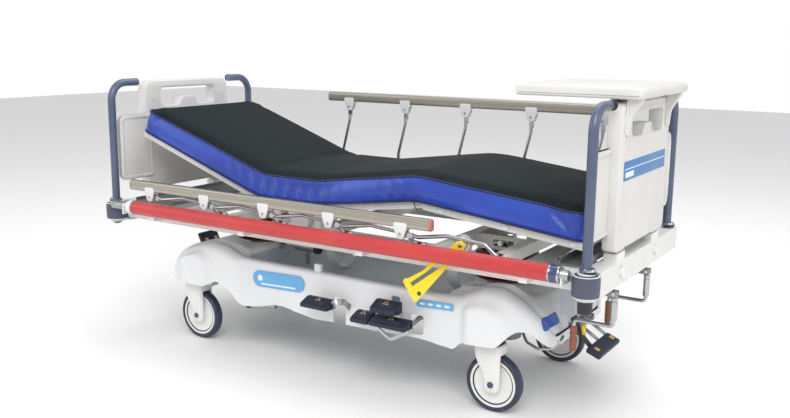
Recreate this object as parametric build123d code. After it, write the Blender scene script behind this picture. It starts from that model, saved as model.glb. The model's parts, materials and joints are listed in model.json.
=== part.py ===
"""Stretcher trolley with hydraulic lift, four-section bed deck, folding side rails and push posts.

Millimetres. The model is built about the middle of the bed frame (X towards the foot end, Y across,
Z up from the floor) and each node is moved along X when it is written, so that the origin is the
bottom centre of the whole trolley. Every joint is drawn in the rest position.
"""
from build123d import *
import os
from math import cos, radians, sin, tan

# ---------------------------------------------------------------- driving dimensions
SHIFT_X = -22.0            # from the middle of the frame to the middle of the overall length

# castors
WHEEL_R = 100.0
TYRE_WIDTH = 38.0
TYRE_DEPTH = 20.0
CASTOR_MID_X = -18.0
CASTOR_HALF_BASE = 674.0
CASTOR_Y = 285.0
CASTOR_TRAIL = 18.0
FORK_TOP_Z = 238.0
FORK_HALF_WIDTH = 36.0
AXLE_R = 6.0
STEM_R = 14.0

# base
BASE_HALF_LENGTH = 850.0
BASE_HALF_WIDTH = 340.0
SKIN = 6.0
RIM_Z = 382.0
TRAY_FLOOR_Z = 318.0
TRAY_X = (-440.0, 486.0)
TRAY_HALF_WIDTH = 300.0
PLAN_CORNER_R = 130.0
RAIL_Y = 170.0             # longitudinal rails of the chassis
RAIL_HALF_WIDTH = 18.0
CHASSIS_Z = (258.0, 308.0)

# pedals
PEDAL_SHAFT_Y = -235.0
PEDAL_SHAFT_Z = 282.0
PEDAL_SHAFT_R = 8.0
PEDAL_PAD_Y = -400.0
PEDAL_ELBOW_Y = -328.0
PEDAL_WINDOWS = [((42, 98), (150, 304)), ((292, 328), (258, 350)), ((200, 236), (230, 298)),
                 ((372, 424), (230, 298))]
BRAKE_X = 868.0
BRAKE_Z = 270.0
BRAKE_SHAFT_R = 8.0
LOCK_ROD_Z = 258.0

# lift columns
COLUMN_X = 570.0
BARREL_R = 62.0
RAM_R = 52.0
TILT_RAM_R = 40.0
BARREL_Z = (165.0, 482.0)
PIVOT_Z = 520.0            # cross pins at the top of both columns
PIN_R = 10.0
BELLOWS_R = 115.0
BELLOWS_Z = (392.5, 489.5)

# bed frame
BEAM_Z = (490.0, 550.0)
BEAM_Y = (345.0, 385.0)
END_BEAM_X = (990.0, 1049.0)
END_BEAM_Z = (472.0, 552.0)
POST_X = 1020.0
POST_Y = 410.0
POST_R = 15.5
HANDLE_Z = 1041.0
HANDLE_END_Y = 278.0
HANDLE_BEND_R = 70.0
ROLLER_R = 42.5
ROLLER_Z = (482.5, 551.5)
NUB_Z = (434.0, 468.0)     # rubber foot under the corner roller of the foot end
NUB_R = 21.0

# bumper tube along each side
BUMPER_Y = 455.0
BUMPER_Z = 553.0
BUMPER_R = 27.0
BUMPER_X = (-858.0, 925.0)
BUMPER_ARM_X = (-760.0, -290.0, 240.0, 840.0)
CARRIER_R = 16.0

# bed deck
DECK_HALF_WIDTH = 310.0
TUBE = 28.0
BACK_HINGE = (-230.0, 604.0)
BACK_ANGLE = 19.0
BACK_LENGTH = 752.0
SEAT_TOP_Z = 634.0
THIGH_HINGE = (-40.0, 620.0)
THIGH_ANGLE = 7.8
THIGH_LENGTH = 423.9
LEG_ANGLE = 6.5
LEG_LENGTH = 598.0
MATTRESS_HALF_WIDTH = 325.0
MATTRESS_THICK = 90.0

# side rails
RAIL_CENTRE_Y = 427.0
RAIL_SECTION = (25.0, 39.0)
RAIL_LENGTH = 1408.0
POST_PITCH = 294.45
FIRST_POST_X = -425.0
POST_COUNT = 5
POST_PIVOT_Z = 562.0
POST_PIVOT_Y = 397.0
POST_REACH = 366.0
FOLDED_RISE = 6.0          # degrees above horizontal when folded
RAIL_ABOVE_PIVOT = 40.0
TUBE_R = 7.0
EYE_R = 9.0
EYE_THICK = 8.0
EYE_LENGTH = 42.0
EYE_PIN_R = 4.0
CLAMP_GAP = 10.0
LEVER_PIVOT = (604.0, 588.0)
LEVER_PIN_R = 4.0
FAR_LEVER_DROP = 58.0      # the folded far posts pass above the far lever

# boards
BOARD_BODY_Y = 248.0
BOARD_WING_Y = 388.0
BOARD_BODY_Z = (586.0, 1045.0)
BOARD_WING_Z = (638.0, 910.0)
BOARD_INNER_X = 998.0
BOARD_OUTER_X = 1050.0
BOARD_SKIN = 8.0
SOCKET_Y = 180.0

# chart table over the foot board
TABLE_X = (695.0, 1106.5)
TABLE_HALF_WIDTH = 250.0
TABLE_Z = (1058.0, 1093.0)

# cranks
CRANK_Y = (-215.0, 118.0)
CRANK_X = 1045.0
CRANK_Z = 452.0
CRANK_THROW = 130.0
CRANK_ENDS = (-60.0, 720.0)

RUNNING = 0.05             # radial clearance of every pin and shaft
NEAR, FAR = -1, 1


# ---------------------------------------------------------------- helpers
def block(x, y, z):
    """Box between two limits on each axis."""
    size = [b - a for a, b in (x, y, z)]
    centre = [(a + b) / 2 for a, b in (x, y, z)]
    return Pos(*centre) * Box(*size)


def rod(start, end, radius):
    """Round bar between two points."""
    axis = Vector(*end) - Vector(*start)
    return Solid.make_cylinder(radius, axis.length, Plane(origin=start, z_dir=axis))


def cross_bar(x, z, y0, y1, radius):
    return rod((x, y0, z), (x, y1, z), radius)


def plate_xz(points, y0, y1):
    """Outline in the XZ plane, extruded between two Y values."""
    plane = Plane(origin=(0, y0, 0), x_dir=(1, 0, 0), z_dir=(0, -1, 0))
    return extrude(plane * Polygon(*points, align=None), amount=y1 - y0, dir=(0, 1, 0))


def plate_yz(points, x0, x1):
    """Outline in the YZ plane, extruded between two X values."""
    plane = Plane(origin=(x0, 0, 0), x_dir=(0, 1, 0), z_dir=(1, 0, 0))
    return extrude(plane * Polygon(*points, align=None), amount=x1 - x0, dir=(1, 0, 0))


def bent_bar(points, bends, radius, bore=0.0):
    """Round bar or tube along straight runs joined by arcs."""
    path = FilletPolyline(*points, radius=bends)
    plane = Plane(origin=path @ 0, z_dir=path % 0)
    section = Circle(radius) if bore == 0 else Circle(radius) - Circle(bore)
    return sweep(plane * section, path=path)


def box_tube(x, y, z, wall, axis):
    """Rectangular tube, open at both ends along one axis."""
    grow = {a: (wall if a != axis else -1.0) for a in "xyz"}
    inner = [(lo + grow[a], hi - grow[a]) for a, (lo, hi) in zip("xyz", (x, y, z))]
    return block(x, y, z) - block(*inner)


def about(pivot, angle, shape):
    """Turn a flat deck section about its hinge; a positive angle lowers the +X side."""
    return Pos(pivot[0], 0, pivot[1]) * Rot(0, angle, 0) * shape


def parts_union(parts):
    """All the parts joined into one shape."""
    whole = parts[0]
    for part in parts[1:]:
        whole += part
    return whole


def solids_of(*shapes):
    found = []
    for shape in shapes:
        found.extend(shape.solids())
    return found


NODES = {}


def keep(name, *shapes):
    NODES[name] = solids_of(*shapes)


# ---------------------------------------------------------------- castors
def castor_places():
    for end, sx in (("head", -1), ("foot", 1)):
        for side, sy in (("near", NEAR), ("far", FAR)):
            yield f"{end}_{side}", CASTOR_MID_X + sx * CASTOR_HALF_BASE, sy * CASTOR_Y


def castor_fork():
    """Shrouded fork: wide at the crown, narrowing to the axle, with its stem and axle bolt."""
    crown = 50.0
    boss = 26.0
    outline = [(-crown, FORK_TOP_Z), (crown, FORK_TOP_Z), (crown + 2, 190), (CASTOR_TRAIL + boss, 100),
               (CASTOR_TRAIL + 16, 78), (CASTOR_TRAIL - 16, 78), (CASTOR_TRAIL - boss, 100), (-crown - 2, 190)]
    shroud = plate_xz(outline, -FORK_HALF_WIDTH, FORK_HALF_WIDTH)
    shroud = fillet(shroud.edges().filter_by(Axis.Y), 9)
    gap = TYRE_WIDTH / 2 + 4
    shroud -= cross_bar(CASTOR_TRAIL, WHEEL_R, -gap, gap, WHEEL_R + 7)
    stem = rod((0, 0, FORK_TOP_Z - 12), (0, 0, FORK_TOP_Z + 58), STEM_R)
    bolt = cross_bar(CASTOR_TRAIL, WHEEL_R, -FORK_HALF_WIDTH, FORK_HALF_WIDTH, AXLE_R)
    cap = cross_bar(CASTOR_TRAIL, WHEEL_R, FORK_HALF_WIDTH, FORK_HALF_WIDTH + 4, 11)
    return shroud + stem + bolt + cap + mirror(cap, Plane.XZ)


def castor_wheel():
    """Hub with a bearing boss, and a separate tyre round it."""
    half = TYRE_WIDTH / 2
    rim = WHEEL_R - TYRE_DEPTH
    x, z = CASTOR_TRAIL, WHEEL_R
    hub = cross_bar(x, z, -half + 3, half - 3, rim)
    for side in (-1, 1):
        hub -= cross_bar(x, z, side * 7, side * half, rim - 8) - cross_bar(x, z, -half, half, 22)
    hub += cross_bar(x, z, -half, half, 20)
    hub -= cross_bar(x, z, -half - 1, half + 1, AXLE_R + RUNNING)
    tyre = cross_bar(x, z, -half, half, WHEEL_R)
    tyre = fillet(tyre.edges().filter_by(GeomType.CIRCLE), 8)
    tyre -= cross_bar(x, z, -half - 1, half + 1, rim)
    return hub, tyre


def castors():
    fork = castor_fork()
    hub, tyre = castor_wheel()
    for place, x, y in castor_places():
        keep(f"castor_fork_{place}", Pos(x, y, 0) * fork)
        keep(f"castor_wheel_{place}", Pos(x, y, 0) * hub, Pos(x, y, 0) * tyre)


# ---------------------------------------------------------------- base
def base_cover():
    """Moulded skirted shell with a tray between two raised ends, open underneath."""
    top = [(-850, 262), (-790, 325), (-700, 392), (-620, 418), (-548, 422), (-452, RIM_Z), (500, RIM_Z),
           (548, 392), (610, 430), (690, 434), (748, 414), (800, 370), (835, 316), (850, 270)]
    skirt = [(845, 236), (720, 246), (590, 242), (560, 262), (536, 205), (401, 216), (226, 208), (-28, 205),
             (-209, 223), (-397, 196), (-454, 232), (-543, 268), (-600, 246), (-740, 246), (-845, 236)]
    outer = plate_xz(top + skirt, -BASE_HALF_WIDTH, BASE_HALF_WIDTH)
    footprint = RectangleRounded(2 * BASE_HALF_LENGTH, 2 * BASE_HALF_WIDTH, PLAN_CORNER_R)
    plan = Pos(0, 0, 150) * extrude(footprint, 300)
    outer &= plan
    lowered = [(x * (1 - SKIN / BASE_HALF_LENGTH), z - SKIN) for x, z in top]
    inner = plate_xz(lowered + [(840, 150), (-840, 150)], -BASE_HALF_WIDTH, BASE_HALF_WIDTH)
    core = RectangleRounded(2 * (BASE_HALF_LENGTH - SKIN), 2 * (BASE_HALF_WIDTH - SKIN), PLAN_CORNER_R - SKIN)
    inner &= Pos(0, 0, 140) * extrude(core, 320)
    wide = TRAY_HALF_WIDTH + SKIN
    outer -= block(TRAY_X, (-TRAY_HALF_WIDTH, TRAY_HALF_WIDTH), (TRAY_FLOOR_Z, 500))
    inner -= block((TRAY_X[0] - SKIN, TRAY_X[1] + SKIN), (-wide, wide), (TRAY_FLOOR_Z - SKIN, 500))
    seat_z = BELLOWS_Z[0] - 0.5
    for x in (-COLUMN_X, COLUMN_X):
        outer -= rod((x, 0, seat_z), (x, 0, 500), BELLOWS_R + 6)
        inner -= rod((x, 0, seat_z - SKIN), (x, 0, 500), BELLOWS_R + 6 + SKIN)
    cover = outer - inner
    for x in (-COLUMN_X, COLUMN_X):
        cover -= rod((x, 0, 150), (x, 0, 500), BARREL_R + 2)
    near = (-BASE_HALF_WIDTH - 5, -BASE_HALF_WIDTH + 15)
    for x, z in PEDAL_WINDOWS:
        cover -= block(x, near, z)
    for sx in (-1, 1):
        cover -= block(sorted((sx * 800, sx * 860)), (-84, 84), (200, 300))
    keep("base_cover", cover)


def base_chassis():
    """Welded steel frame under the cover, with the castor sockets and the two column barrels."""
    low, high = CHASSIS_Z
    half = RAIL_HALF_WIDTH
    rails = []
    for side in (NEAR, FAR):
        y = (side * RAIL_Y - half, side * RAIL_Y + half)
        rails.append(box_tube((-700, 700), y, (low, high), 3, "x"))
    frame = rails[0] + rails[1]
    for sx in (-1, 1):
        x = CASTOR_MID_X + sx * CASTOR_HALF_BASE
        beam = block((x - 26, x + 26), (-CASTOR_Y - 26, CASTOR_Y + 26), (low, high))
        frame += beam - block((x - 22, x + 22), (-CASTOR_Y + 40, CASTOR_Y - 40), (low + 4, high - 4))
        for sy in (NEAR, FAR):
            socket_x, socket_y = x, sy * CASTOR_Y
            frame += rod((socket_x, socket_y, FORK_TOP_Z + 6), (socket_x, socket_y, high + 6), 25)
            frame -= rod((socket_x, socket_y, 200), (socket_x, socket_y, FORK_TOP_Z + 60), STEM_R + RUNNING)
        column = sx * COLUMN_X
        frame += block((column - 85, column + 85), (-RAIL_Y, RAIL_Y), (high - 42, high - 30))
        frame -= rod((column, 0, 100), (column, 0, 400), BARREL_R)
    for x in (-300.0, 0.0, 300.0):
        frame += block((x - 15, x + 15), (-RAIL_Y + half, RAIL_Y - half), (low + 10, high - 10))
    frame = parts_union([frame, pedal_shaft()] + brake_brackets())
    barrels = []
    for x in (-COLUMN_X, COLUMN_X):
        z0, z1 = BARREL_Z
        barrel = rod((x, 0, z0), (x, 0, z1), BARREL_R) - rod((x, 0, z0 + 4), (x, 0, z1 + 1), RAM_R + RUNNING)
        barrels.append(barrel)
    joining_rod = rod((-610, 100, LOCK_ROD_Z), (610, 100, LOCK_ROD_Z), 5)
    keep("base_chassis", frame, joining_rod, *barrels)


def pedal_shaft():
    """Fixed shaft along X on which the side pedals pivot, held by hangers from the chassis rail."""
    shaft = rod((20, PEDAL_SHAFT_Y, PEDAL_SHAFT_Z), (440, PEDAL_SHAFT_Y, PEDAL_SHAFT_Z), PEDAL_SHAFT_R)
    for x in (30.0, 150.0, 260.0, 360.0, 432.0):
        shaft += block((x - 4, x + 4), (PEDAL_SHAFT_Y - 12, -RAIL_Y - 18), (266, 292))
    return shaft


def cylinder_clips():
    """Two upward-opening cradles in the tray for a gas cylinder, on short feet."""
    inner, thick = 72.0, 5.0
    clips = []
    for x in (-150.0, 400.0):
        z = TRAY_FLOOR_Z + inner + thick + 3
        ring = rod((x - 22, -20, z), (x + 22, -20, z), inner + thick)
        ring -= rod((x - 30, -20, z), (x + 30, -20, z), inner)
        ring -= plate_yz([(-20, z), (-140, z + 100), (100, z + 100)], x - 30, x + 30)
        foot = block((x - 18, x + 18), (-50, 10), (TRAY_FLOOR_Z, z - inner - 1))
        foot -= rod((x - 30, -20, z), (x + 30, -20, z), inner)
        clips.append(ring + foot)
    keep("cylinder_clips", *clips)


def bellows(x):
    """Accordion boot, closed up at the lowest height."""
    folds = 6
    low, high = BELLOWS_Z
    step = (high - low) / folds
    outer = [(BELLOWS_R - 14, low)]
    for i in range(folds):
        outer.append((BELLOWS_R, low + step * (i + 0.5)))
        outer.append((BELLOWS_R - 14, low + step * (i + 1)))
    inner = [(r - 6, z) for r, z in reversed(outer)]
    profile = Plane.XZ * Polygon(*(outer + inner), align=None)
    return Pos(x, 0, 0) * revolve(profile, Axis.Z)


# ---------------------------------------------------------------- lift columns
def column_rams():
    z0, z1 = BARREL_Z[0] + 8, 500.0
    head = rod((-COLUMN_X, 0, z0), (-COLUMN_X, 0, z1), RAM_R)
    head -= rod((-COLUMN_X, 0, z0 - 1), (-COLUMN_X, 0, z1 - 12), RAM_R - 8)
    head += block((-COLUMN_X - 18, -COLUMN_X + 18), (-30, 30), (z1 - 4, PIVOT_Z + 14))
    head -= cross_bar(-COLUMN_X, PIVOT_Z, -40, 40, PIN_R + RUNNING)
    keep("head_column_ram", head)
    foot = rod((COLUMN_X, 0, z0), (COLUMN_X, 0, z1 - 8), RAM_R)
    foot -= rod((COLUMN_X, 0, z0 - 1), (COLUMN_X, 0, z1), TILT_RAM_R + RUNNING)
    keep("foot_column_ram", foot)
    tilt = rod((COLUMN_X, 0, z0 + 2), (COLUMN_X, 0, z1), TILT_RAM_R)
    tilt -= rod((COLUMN_X, 0, z0), (COLUMN_X, 0, z1 - 12), TILT_RAM_R - 7)
    tilt += block((COLUMN_X - 16, COLUMN_X + 16), (-30, 30), (z1 - 4, PIVOT_Z + 12))
    tilt += cross_bar(COLUMN_X, PIVOT_Z, -62, 62, PIN_R)
    keep("foot_tilt_ram", tilt)


# ---------------------------------------------------------------- pedals
def side_pedal(name, x, z, pad, arm_x):
    """Pedal on the near side: hub on the shaft, strap out through the cover, moulded pad."""
    hub_x = (arm_x - 12, arm_x + 12)
    hub = rod((hub_x[0], PEDAL_SHAFT_Y, PEDAL_SHAFT_Z), (hub_x[1], PEDAL_SHAFT_Y, PEDAL_SHAFT_Z), 17)
    bore = rod((hub_x[0] - 1, PEDAL_SHAFT_Y, PEDAL_SHAFT_Z), (hub_x[1] + 1, PEDAL_SHAFT_Y, PEDAL_SHAFT_Z),
               PEDAL_SHAFT_R + RUNNING)
    length, depth, height = pad
    y_in = PEDAL_PAD_Y + depth / 2
    low, high = PEDAL_SHAFT_Z - 8, PEDAL_SHAFT_Z + 8
    side_view = [(PEDAL_SHAFT_Y, low), (PEDAL_SHAFT_Y, high), (PEDAL_ELBOW_Y, high), (y_in + 8, z + 6),
                 (y_in - 20, z + 6), (y_in - 20, z - 6), (y_in + 8, z - 6), (PEDAL_ELBOW_Y, low)]
    strap = plate_yz(side_view, arm_x - 5, arm_x + 5)
    shoe = block((x - length / 2, x + length / 2), (y_in - depth, y_in), (z - height / 2, z + height / 2))
    shoe = fillet(shoe.edges().filter_by(Axis.X), 7)
    shoe -= strap
    keep(name, (hub + strap) - bore, shoe)


def side_pedals():
    side_pedal("release_pedal", 18, 290, (120, 62, 34), 70)
    side_pedal("pump_pedal", 310, 326, (100, 58, 40), 310)
    side_pedal("lower_head_pedal", 215, 274, (72, 62, 36), 218)
    side_pedal("lower_foot_pedal", 330, 274, (146, 62, 32), 398)


def brake_pedals():
    """Brake pedals at both ends: the foot one lies low, short of the knee crank, the head one is tipped up."""
    foot_pad = (88.0, -54.0), 27.0, (-150.0, 45.0), 22.0
    head_pad = (24.0, 62.0), 40.0, (-54.0, 54.0), 62.0
    ends = (("foot_brake_pedal", 1, foot_pad), ("head_brake_pedal", -1, head_pad))
    for name, sx, (reach, half, width, turn) in ends:
        x, z = sx * BRAKE_X, BRAKE_Z
        pad_x, pad_z = x + sx * reach[0], z + reach[1]
        arms = cross_bar(x, z, -58, 58, 14)
        for y in (-36.0, 36.0):
            arms += rod((x, y, z), (pad_x, y, pad_z), 6)
        pad = block((-half, half), width, (-10, 10))
        pad = fillet(pad.edges().filter_by(Axis.Y), 6)
        pad = Pos(pad_x + sx * 6, 0, pad_z) * Rot(0, turn, 0) * pad
        keep(name, arms - pad - cross_bar(x, z, -60, 60, BRAKE_SHAFT_R + RUNNING), pad)


def brake_brackets():
    """Stub shafts under both brake pedals, on brackets from the ends of the chassis rails."""
    parts = []
    for sx in (-1, 1):
        x = sx * BRAKE_X
        tall = (BRAKE_Z - 11, BRAKE_Z + 11)
        stub = cross_bar(x, BRAKE_Z, -78, 78, BRAKE_SHAFT_R)
        for side in (NEAR, FAR):
            stub += block(sorted((sx * 690, x + sx * 11)), sorted((side * 70, side * 78)), tall)
            stub += block(sorted((sx * 690, sx * 700)), sorted((side * 70, side * 156)), tall)
        parts.append(stub)
    return parts


# ---------------------------------------------------------------- bed frame
def bed_frame():
    """Side beams, cross-members, column yokes, hinge brackets and the fixed seat section."""
    low, high = BEAM_Z
    parts = []
    inner_y = BEAM_Y[0]
    for side in (NEAR, FAR):
        y = sorted((side * inner_y, side * BEAM_Y[1]))
        parts.append(box_tube((-END_BEAM_X[0], END_BEAM_X[0]), y, BEAM_Z, 3, "x"))
    for x in (-COLUMN_X - 110, -COLUMN_X + 110, COLUMN_X - 110, COLUMN_X + 120):
        parts.append(box_tube((x - 20, x + 20), (-inner_y, inner_y), (high - 42, high - 2), 3, "y"))
    for y in (-78.0, 78.0):
        parts.append(block((-COLUMN_X - 90, -COLUMN_X + 90), (y - 6, y + 6), (high - 42, high - 2)))
    for y in (-54.6, 54.6):
        yoke = block((COLUMN_X - 90, COLUMN_X + 100), (y - 6, y + 6), (PIVOT_Z - 26, PIVOT_Z + 26))
        yoke -= block((COLUMN_X - 26, COLUMN_X + 52), (y - 7, y + 7), (PIVOT_Z - 12.5, PIVOT_Z + 12.5))
        parts.append(yoke)
    parts.append(cross_bar(-COLUMN_X, PIVOT_Z, -84, 84, PIN_R))
    for hinge in (BACK_HINGE, THIGH_HINGE):
        cross_x = (hinge[0] - 18, hinge[0] + 18)
        parts.append(box_tube(cross_x, (-inner_y, inner_y), (high - 42, high - 2), 3, "y"))
        for side in (NEAR, FAR):
            cheek = side * (DECK_HALF_WIDTH + 10)
            y = sorted((cheek - 4, cheek + 4))
            pin_y = sorted((cheek, side * (DECK_HALF_WIDTH - TUBE - 6)))
            lug = block((hinge[0] - 14, hinge[0] + 14), y, (high - 10, hinge[1]))
            lug += cross_bar(hinge[0], hinge[1], y[0], y[1], 14)
            lug += cross_bar(hinge[0], hinge[1], *pin_y, 7)
            parts.append(lug)
    seat = []
    x0, x1 = BACK_HINGE[0] + 22, THIGH_HINGE[0] - 22
    for side in (NEAR, FAR):
        y = sorted((side * (DECK_HALF_WIDTH - TUBE), side * DECK_HALF_WIDTH))
        seat.append(block((x0, x1), y, (SEAT_TOP_Z - TUBE, SEAT_TOP_Z - 2)))
        seat.append(block((x0 + 30, x1 - 30), y, (high - 6, SEAT_TOP_Z - TUBE + 2)))
        seat.append(block((x0 + 30, x1 - 30), sorted((y[0], side * (inner_y + 1))), (high - 12, high - 4)))
    seat.append(block((x0 - 4, x1 + 4), (-DECK_HALF_WIDTH, DECK_HALF_WIDTH), (SEAT_TOP_Z - 3, SEAT_TOP_Z)))
    frame = parts_union(parts + seat + rail_base(NEAR) + rail_base(FAR) + lever_brackets() + crank_bearings())
    for sx in (-1, 1):
        frame -= rod((sx * POST_X, -POST_Y, 400), (sx * POST_X, -POST_Y, 600), ROLLER_R + 2)
    keep("bed_frame", frame)


def end_beams():
    """Hollow cast beams across both ends, with board sockets on top and corner plates."""
    beams = []
    for sx in (-1, 1):
        x = sorted((sx * END_BEAM_X[0], sx * END_BEAM_X[1]))
        low, high = END_BEAM_Z
        beam = box_tube(x, (-366, 450), END_BEAM_Z, 4, "y")
        beam += block(x, (366, 450), END_BEAM_Z)
        corner = sx * POST_X
        for z in (low + 2, ROLLER_Z[1] + 1):
            plate = rod((corner, -POST_Y, z), (corner, -POST_Y, z + 6), 27)
            reach = sorted((corner - sx * 20, corner + sx * 20))
            beam += plate + block(reach, (-POST_Y, -364), (z, z + 6))
        for side in (NEAR, FAR):
            mid_x, y = sx * (BOARD_INNER_X + 26), side * SOCKET_Y
            socket = block((mid_x - 22, mid_x + 22), (y - 38, y + 38), (high - 50, high + 26))
            beam += socket
            beam -= block((mid_x - 13, mid_x + 13), (y - 26.5, y + 26.5), (high - 40, high + 40))
        beam -= rod((corner, -POST_Y, 400), (corner, -POST_Y, 700), 14)
        beam -= rod((corner, POST_Y, low + 20), (corner, POST_Y, 700), 14)
        beams.append(beam)
    keep("end_beams", *beams)
    tray = block((905, 985), (-340, 340), (552, 556))
    for x in (905, 981):
        tray += block((x, x + 4), (-340, 340), (552, 574))
    cross_plate = block((800, 868), (-380, 380), (550.2, 554))
    keep("foot_frame_cover", tray, cross_plate)


def push_posts():
    """Four upright posts that bend inwards into push handles."""
    posts = []
    for sx in (-1, 1):
        for side in (NEAR, FAR):
            x, y = sx * POST_X, side * POST_Y
            foot_z = END_BEAM_Z[0] - 4 if side == NEAR else END_BEAM_Z[0] + 21
            points = [(x, y, ROLLER_Z[1] + 7.5), (x, y, HANDLE_Z), (x, side * HANDLE_END_Y, HANDLE_Z)]
            post = bent_bar(points, HANDLE_BEND_R, POST_R, POST_R - 2.5)
            post += rod((x, y, foot_z), (x, y, ROLLER_Z[1] + 40), 14)
            post += rod((x, y, ROLLER_Z[1] + 7.5), (x, y, ROLLER_Z[1] + 17), 22)
            if side == NEAR and sx > 0:
                post += rod((x, y, NUB_Z[0]), (x, y, NUB_Z[1]), NUB_R)
            cap = rod((x, side * HANDLE_END_Y, HANDLE_Z), (x, side * (HANDLE_END_Y - 4), HANDLE_Z), POST_R)
            posts.append(post + cap)
    keep("push_posts", *posts)


def bumper_rollers():
    for end, sx in (("head", -1), ("foot", 1)):
        x, y = sx * POST_X, -POST_Y
        roller = rod((x, y, ROLLER_Z[0]), (x, y, ROLLER_Z[1]), ROLLER_R)
        roller = fillet(roller.edges().filter_by(GeomType.CIRCLE), 5)
        roller -= rod((x, y, 400), (x, y, 600), 14 + RUNNING)
        keep(f"bumper_roller_{end}", roller)


def side_bumpers():
    """Soft tube along each side over a steel carrier that bends in to the corners."""
    tubes, carriers = [], []
    for side in (NEAR, FAR):
        y, z = side * BUMPER_Y, BUMPER_Z
        sleeve = rod((BUMPER_X[0], y, z), (BUMPER_X[1], y, z), BUMPER_R)
        sleeve -= rod((BUMPER_X[0] - 1, y, z), (BUMPER_X[1] + 1, y, z), CARRIER_R)
        tubes.append(sleeve)
        inner_y = side * (BEAM_Y[1] - 1)
        carrier = rod((BUMPER_X[0] - 60, y, z), (968, y, z), CARRIER_R - 0.5)
        carrier -= rod((BUMPER_X[0] - 61, y, z), (969, y, z), CARRIER_R - 3)
        for x in (BUMPER_X[0] - 33, BUMPER_X[1]):
            collar = rod((x, y, z), (x + 33, y, z), BUMPER_R)
            carrier += collar - rod((x - 1, y, z), (x + 34, y, z), CARRIER_R - 3)
        for x in (BUMPER_X[0] - 60, 962):
            carrier += block((x, x + 6), sorted((inner_y, side * (BUMPER_Y + 15))), (z - 31, z - 7))
        for x in BUMPER_ARM_X:
            arm = block((x - 14, x + 14), sorted((inner_y, y)), (510, 524))
            arm += block((x - 14, x + 14), (y - 7, y + 7), (510, z - 14))
            tubes[-1] -= block((x - 14.5, x + 14.5), (y - 7.5, y + 7.5), (500, z))
            carrier += arm
        carriers.append(carrier)
    keep("side_bumper_tubes", *tubes)
    keep("bumper_carriers", *carriers)


# ---------------------------------------------------------------- bed deck and mattress
def section_frame(length, low, high, start):
    """Flat deck section: two side tubes, three cross tubes and a thin deck sheet, hinge at x = 0."""
    y1, y0 = DECK_HALF_WIDTH, DECK_HALF_WIDTH - TUBE
    frame = None
    for side in (NEAR, FAR):
        y = sorted((side * y0, side * y1))
        bar = block((start, length), y, (low, high - 2)) + cross_bar(0, 0, y[0], y[1], 13)
        bar += block((0, start + 1), y, (-9, 9))
        bar -= cross_bar(0, 0, y[0] - 1, y[1] + 1, 7 + RUNNING)
        frame = bar if frame is None else frame + bar
    for x in (start + 60, length * 0.55, length - 30):
        frame += block((x, x + 26), (-y0, y0), (low, high - 2))
    sheet = block((start + 2, length), (-y1, y1), (high - 3, high))
    return frame + sheet


def wedge(start, length, low, high, hinge_lean, far_lean):
    """Mattress piece whose two ends lean so that neighbours clear each other as they hinge."""
    near_high = max(start, high * tan(radians(hinge_lean)))
    far_low, far_high = low * tan(radians(far_lean)), high * tan(radians(far_lean))
    points = [(start, low), (length - far_low, low), (length - far_high, high), (near_high, high)]
    return plate_xz(points, -MATTRESS_HALF_WIDTH, MATTRESS_HALF_WIDTH)


def deck():
    turn_round = Rot(0, 0, 180)
    back_frame = section_frame(BACK_LENGTH, -TUBE, 0, 34)
    keep("back_section_frame", about(BACK_HINGE, BACK_ANGLE, turn_round * back_frame))
    back_pad = wedge(36, BACK_LENGTH + 8, 1, 1 + MATTRESS_THICK, 52, 0)
    keep("mattress_back", about(BACK_HINGE, BACK_ANGLE, turn_round * back_pad))

    low, high = SEAT_TOP_Z + 1, SEAT_TOP_Z + 1 + MATTRESS_THICK - 12
    lean_left, lean_right = tan(radians(19.0)), tan(radians(8.0))
    seat = [(BACK_HINGE[0] + (low - BACK_HINGE[1]) * lean_left, low),
            (THIGH_HINGE[0] - (low - THIGH_HINGE[1]) * lean_right, low),
            (THIGH_HINGE[0] - (high - THIGH_HINGE[1]) * lean_right, high),
            (BACK_HINGE[0] + (high - BACK_HINGE[1]) * lean_left, high)]
    keep("mattress_seat", plate_xz(seat, -MATTRESS_HALF_WIDTH, MATTRESS_HALF_WIDTH))

    half = TUBE / 2
    thigh_frame = section_frame(THIGH_LENGTH - 20, -half, half, 20)
    knee = None
    for side in (NEAR, FAR):
        y = sorted((side * (DECK_HALF_WIDTH - TUBE - 10), side * (DECK_HALF_WIDTH - TUBE - 2)))
        reach = side * (DECK_HALF_WIDTH - 4)
        lug = block((THIGH_LENGTH - 40, THIGH_LENGTH), y, (-9, 9)) + cross_bar(THIGH_LENGTH, 0, *y, 13)
        lug += cross_bar(THIGH_LENGTH, 0, *sorted((y[0], reach)), 7)
        lug += block((THIGH_LENGTH - 40, THIGH_LENGTH - 22), sorted((y[0], reach)), (-9, 9))
        knee = lug if knee is None else knee + lug
    keep("thigh_section_frame", about(THIGH_HINGE, -THIGH_ANGLE, thigh_frame + knee))
    thigh_pad = wedge(20, THIGH_LENGTH, half + 1, half + 1 + MATTRESS_THICK, 24, 1)
    keep("mattress_thigh", about(THIGH_HINGE, -THIGH_ANGLE, thigh_pad))

    knee_at = (THIGH_HINGE[0] + THIGH_LENGTH * cos(radians(THIGH_ANGLE)),
               THIGH_HINGE[1] + THIGH_LENGTH * sin(radians(THIGH_ANGLE)))
    leg_frame = section_frame(LEG_LENGTH, -half, half, 20)
    keep("leg_section_frame", about(knee_at, LEG_ANGLE, leg_frame))
    leg_pad = wedge(2, LEG_LENGTH, half + 1, half + 1 + MATTRESS_THICK, 1, 0)
    keep("mattress_leg", about(knee_at, LEG_ANGLE, leg_pad))


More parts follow.
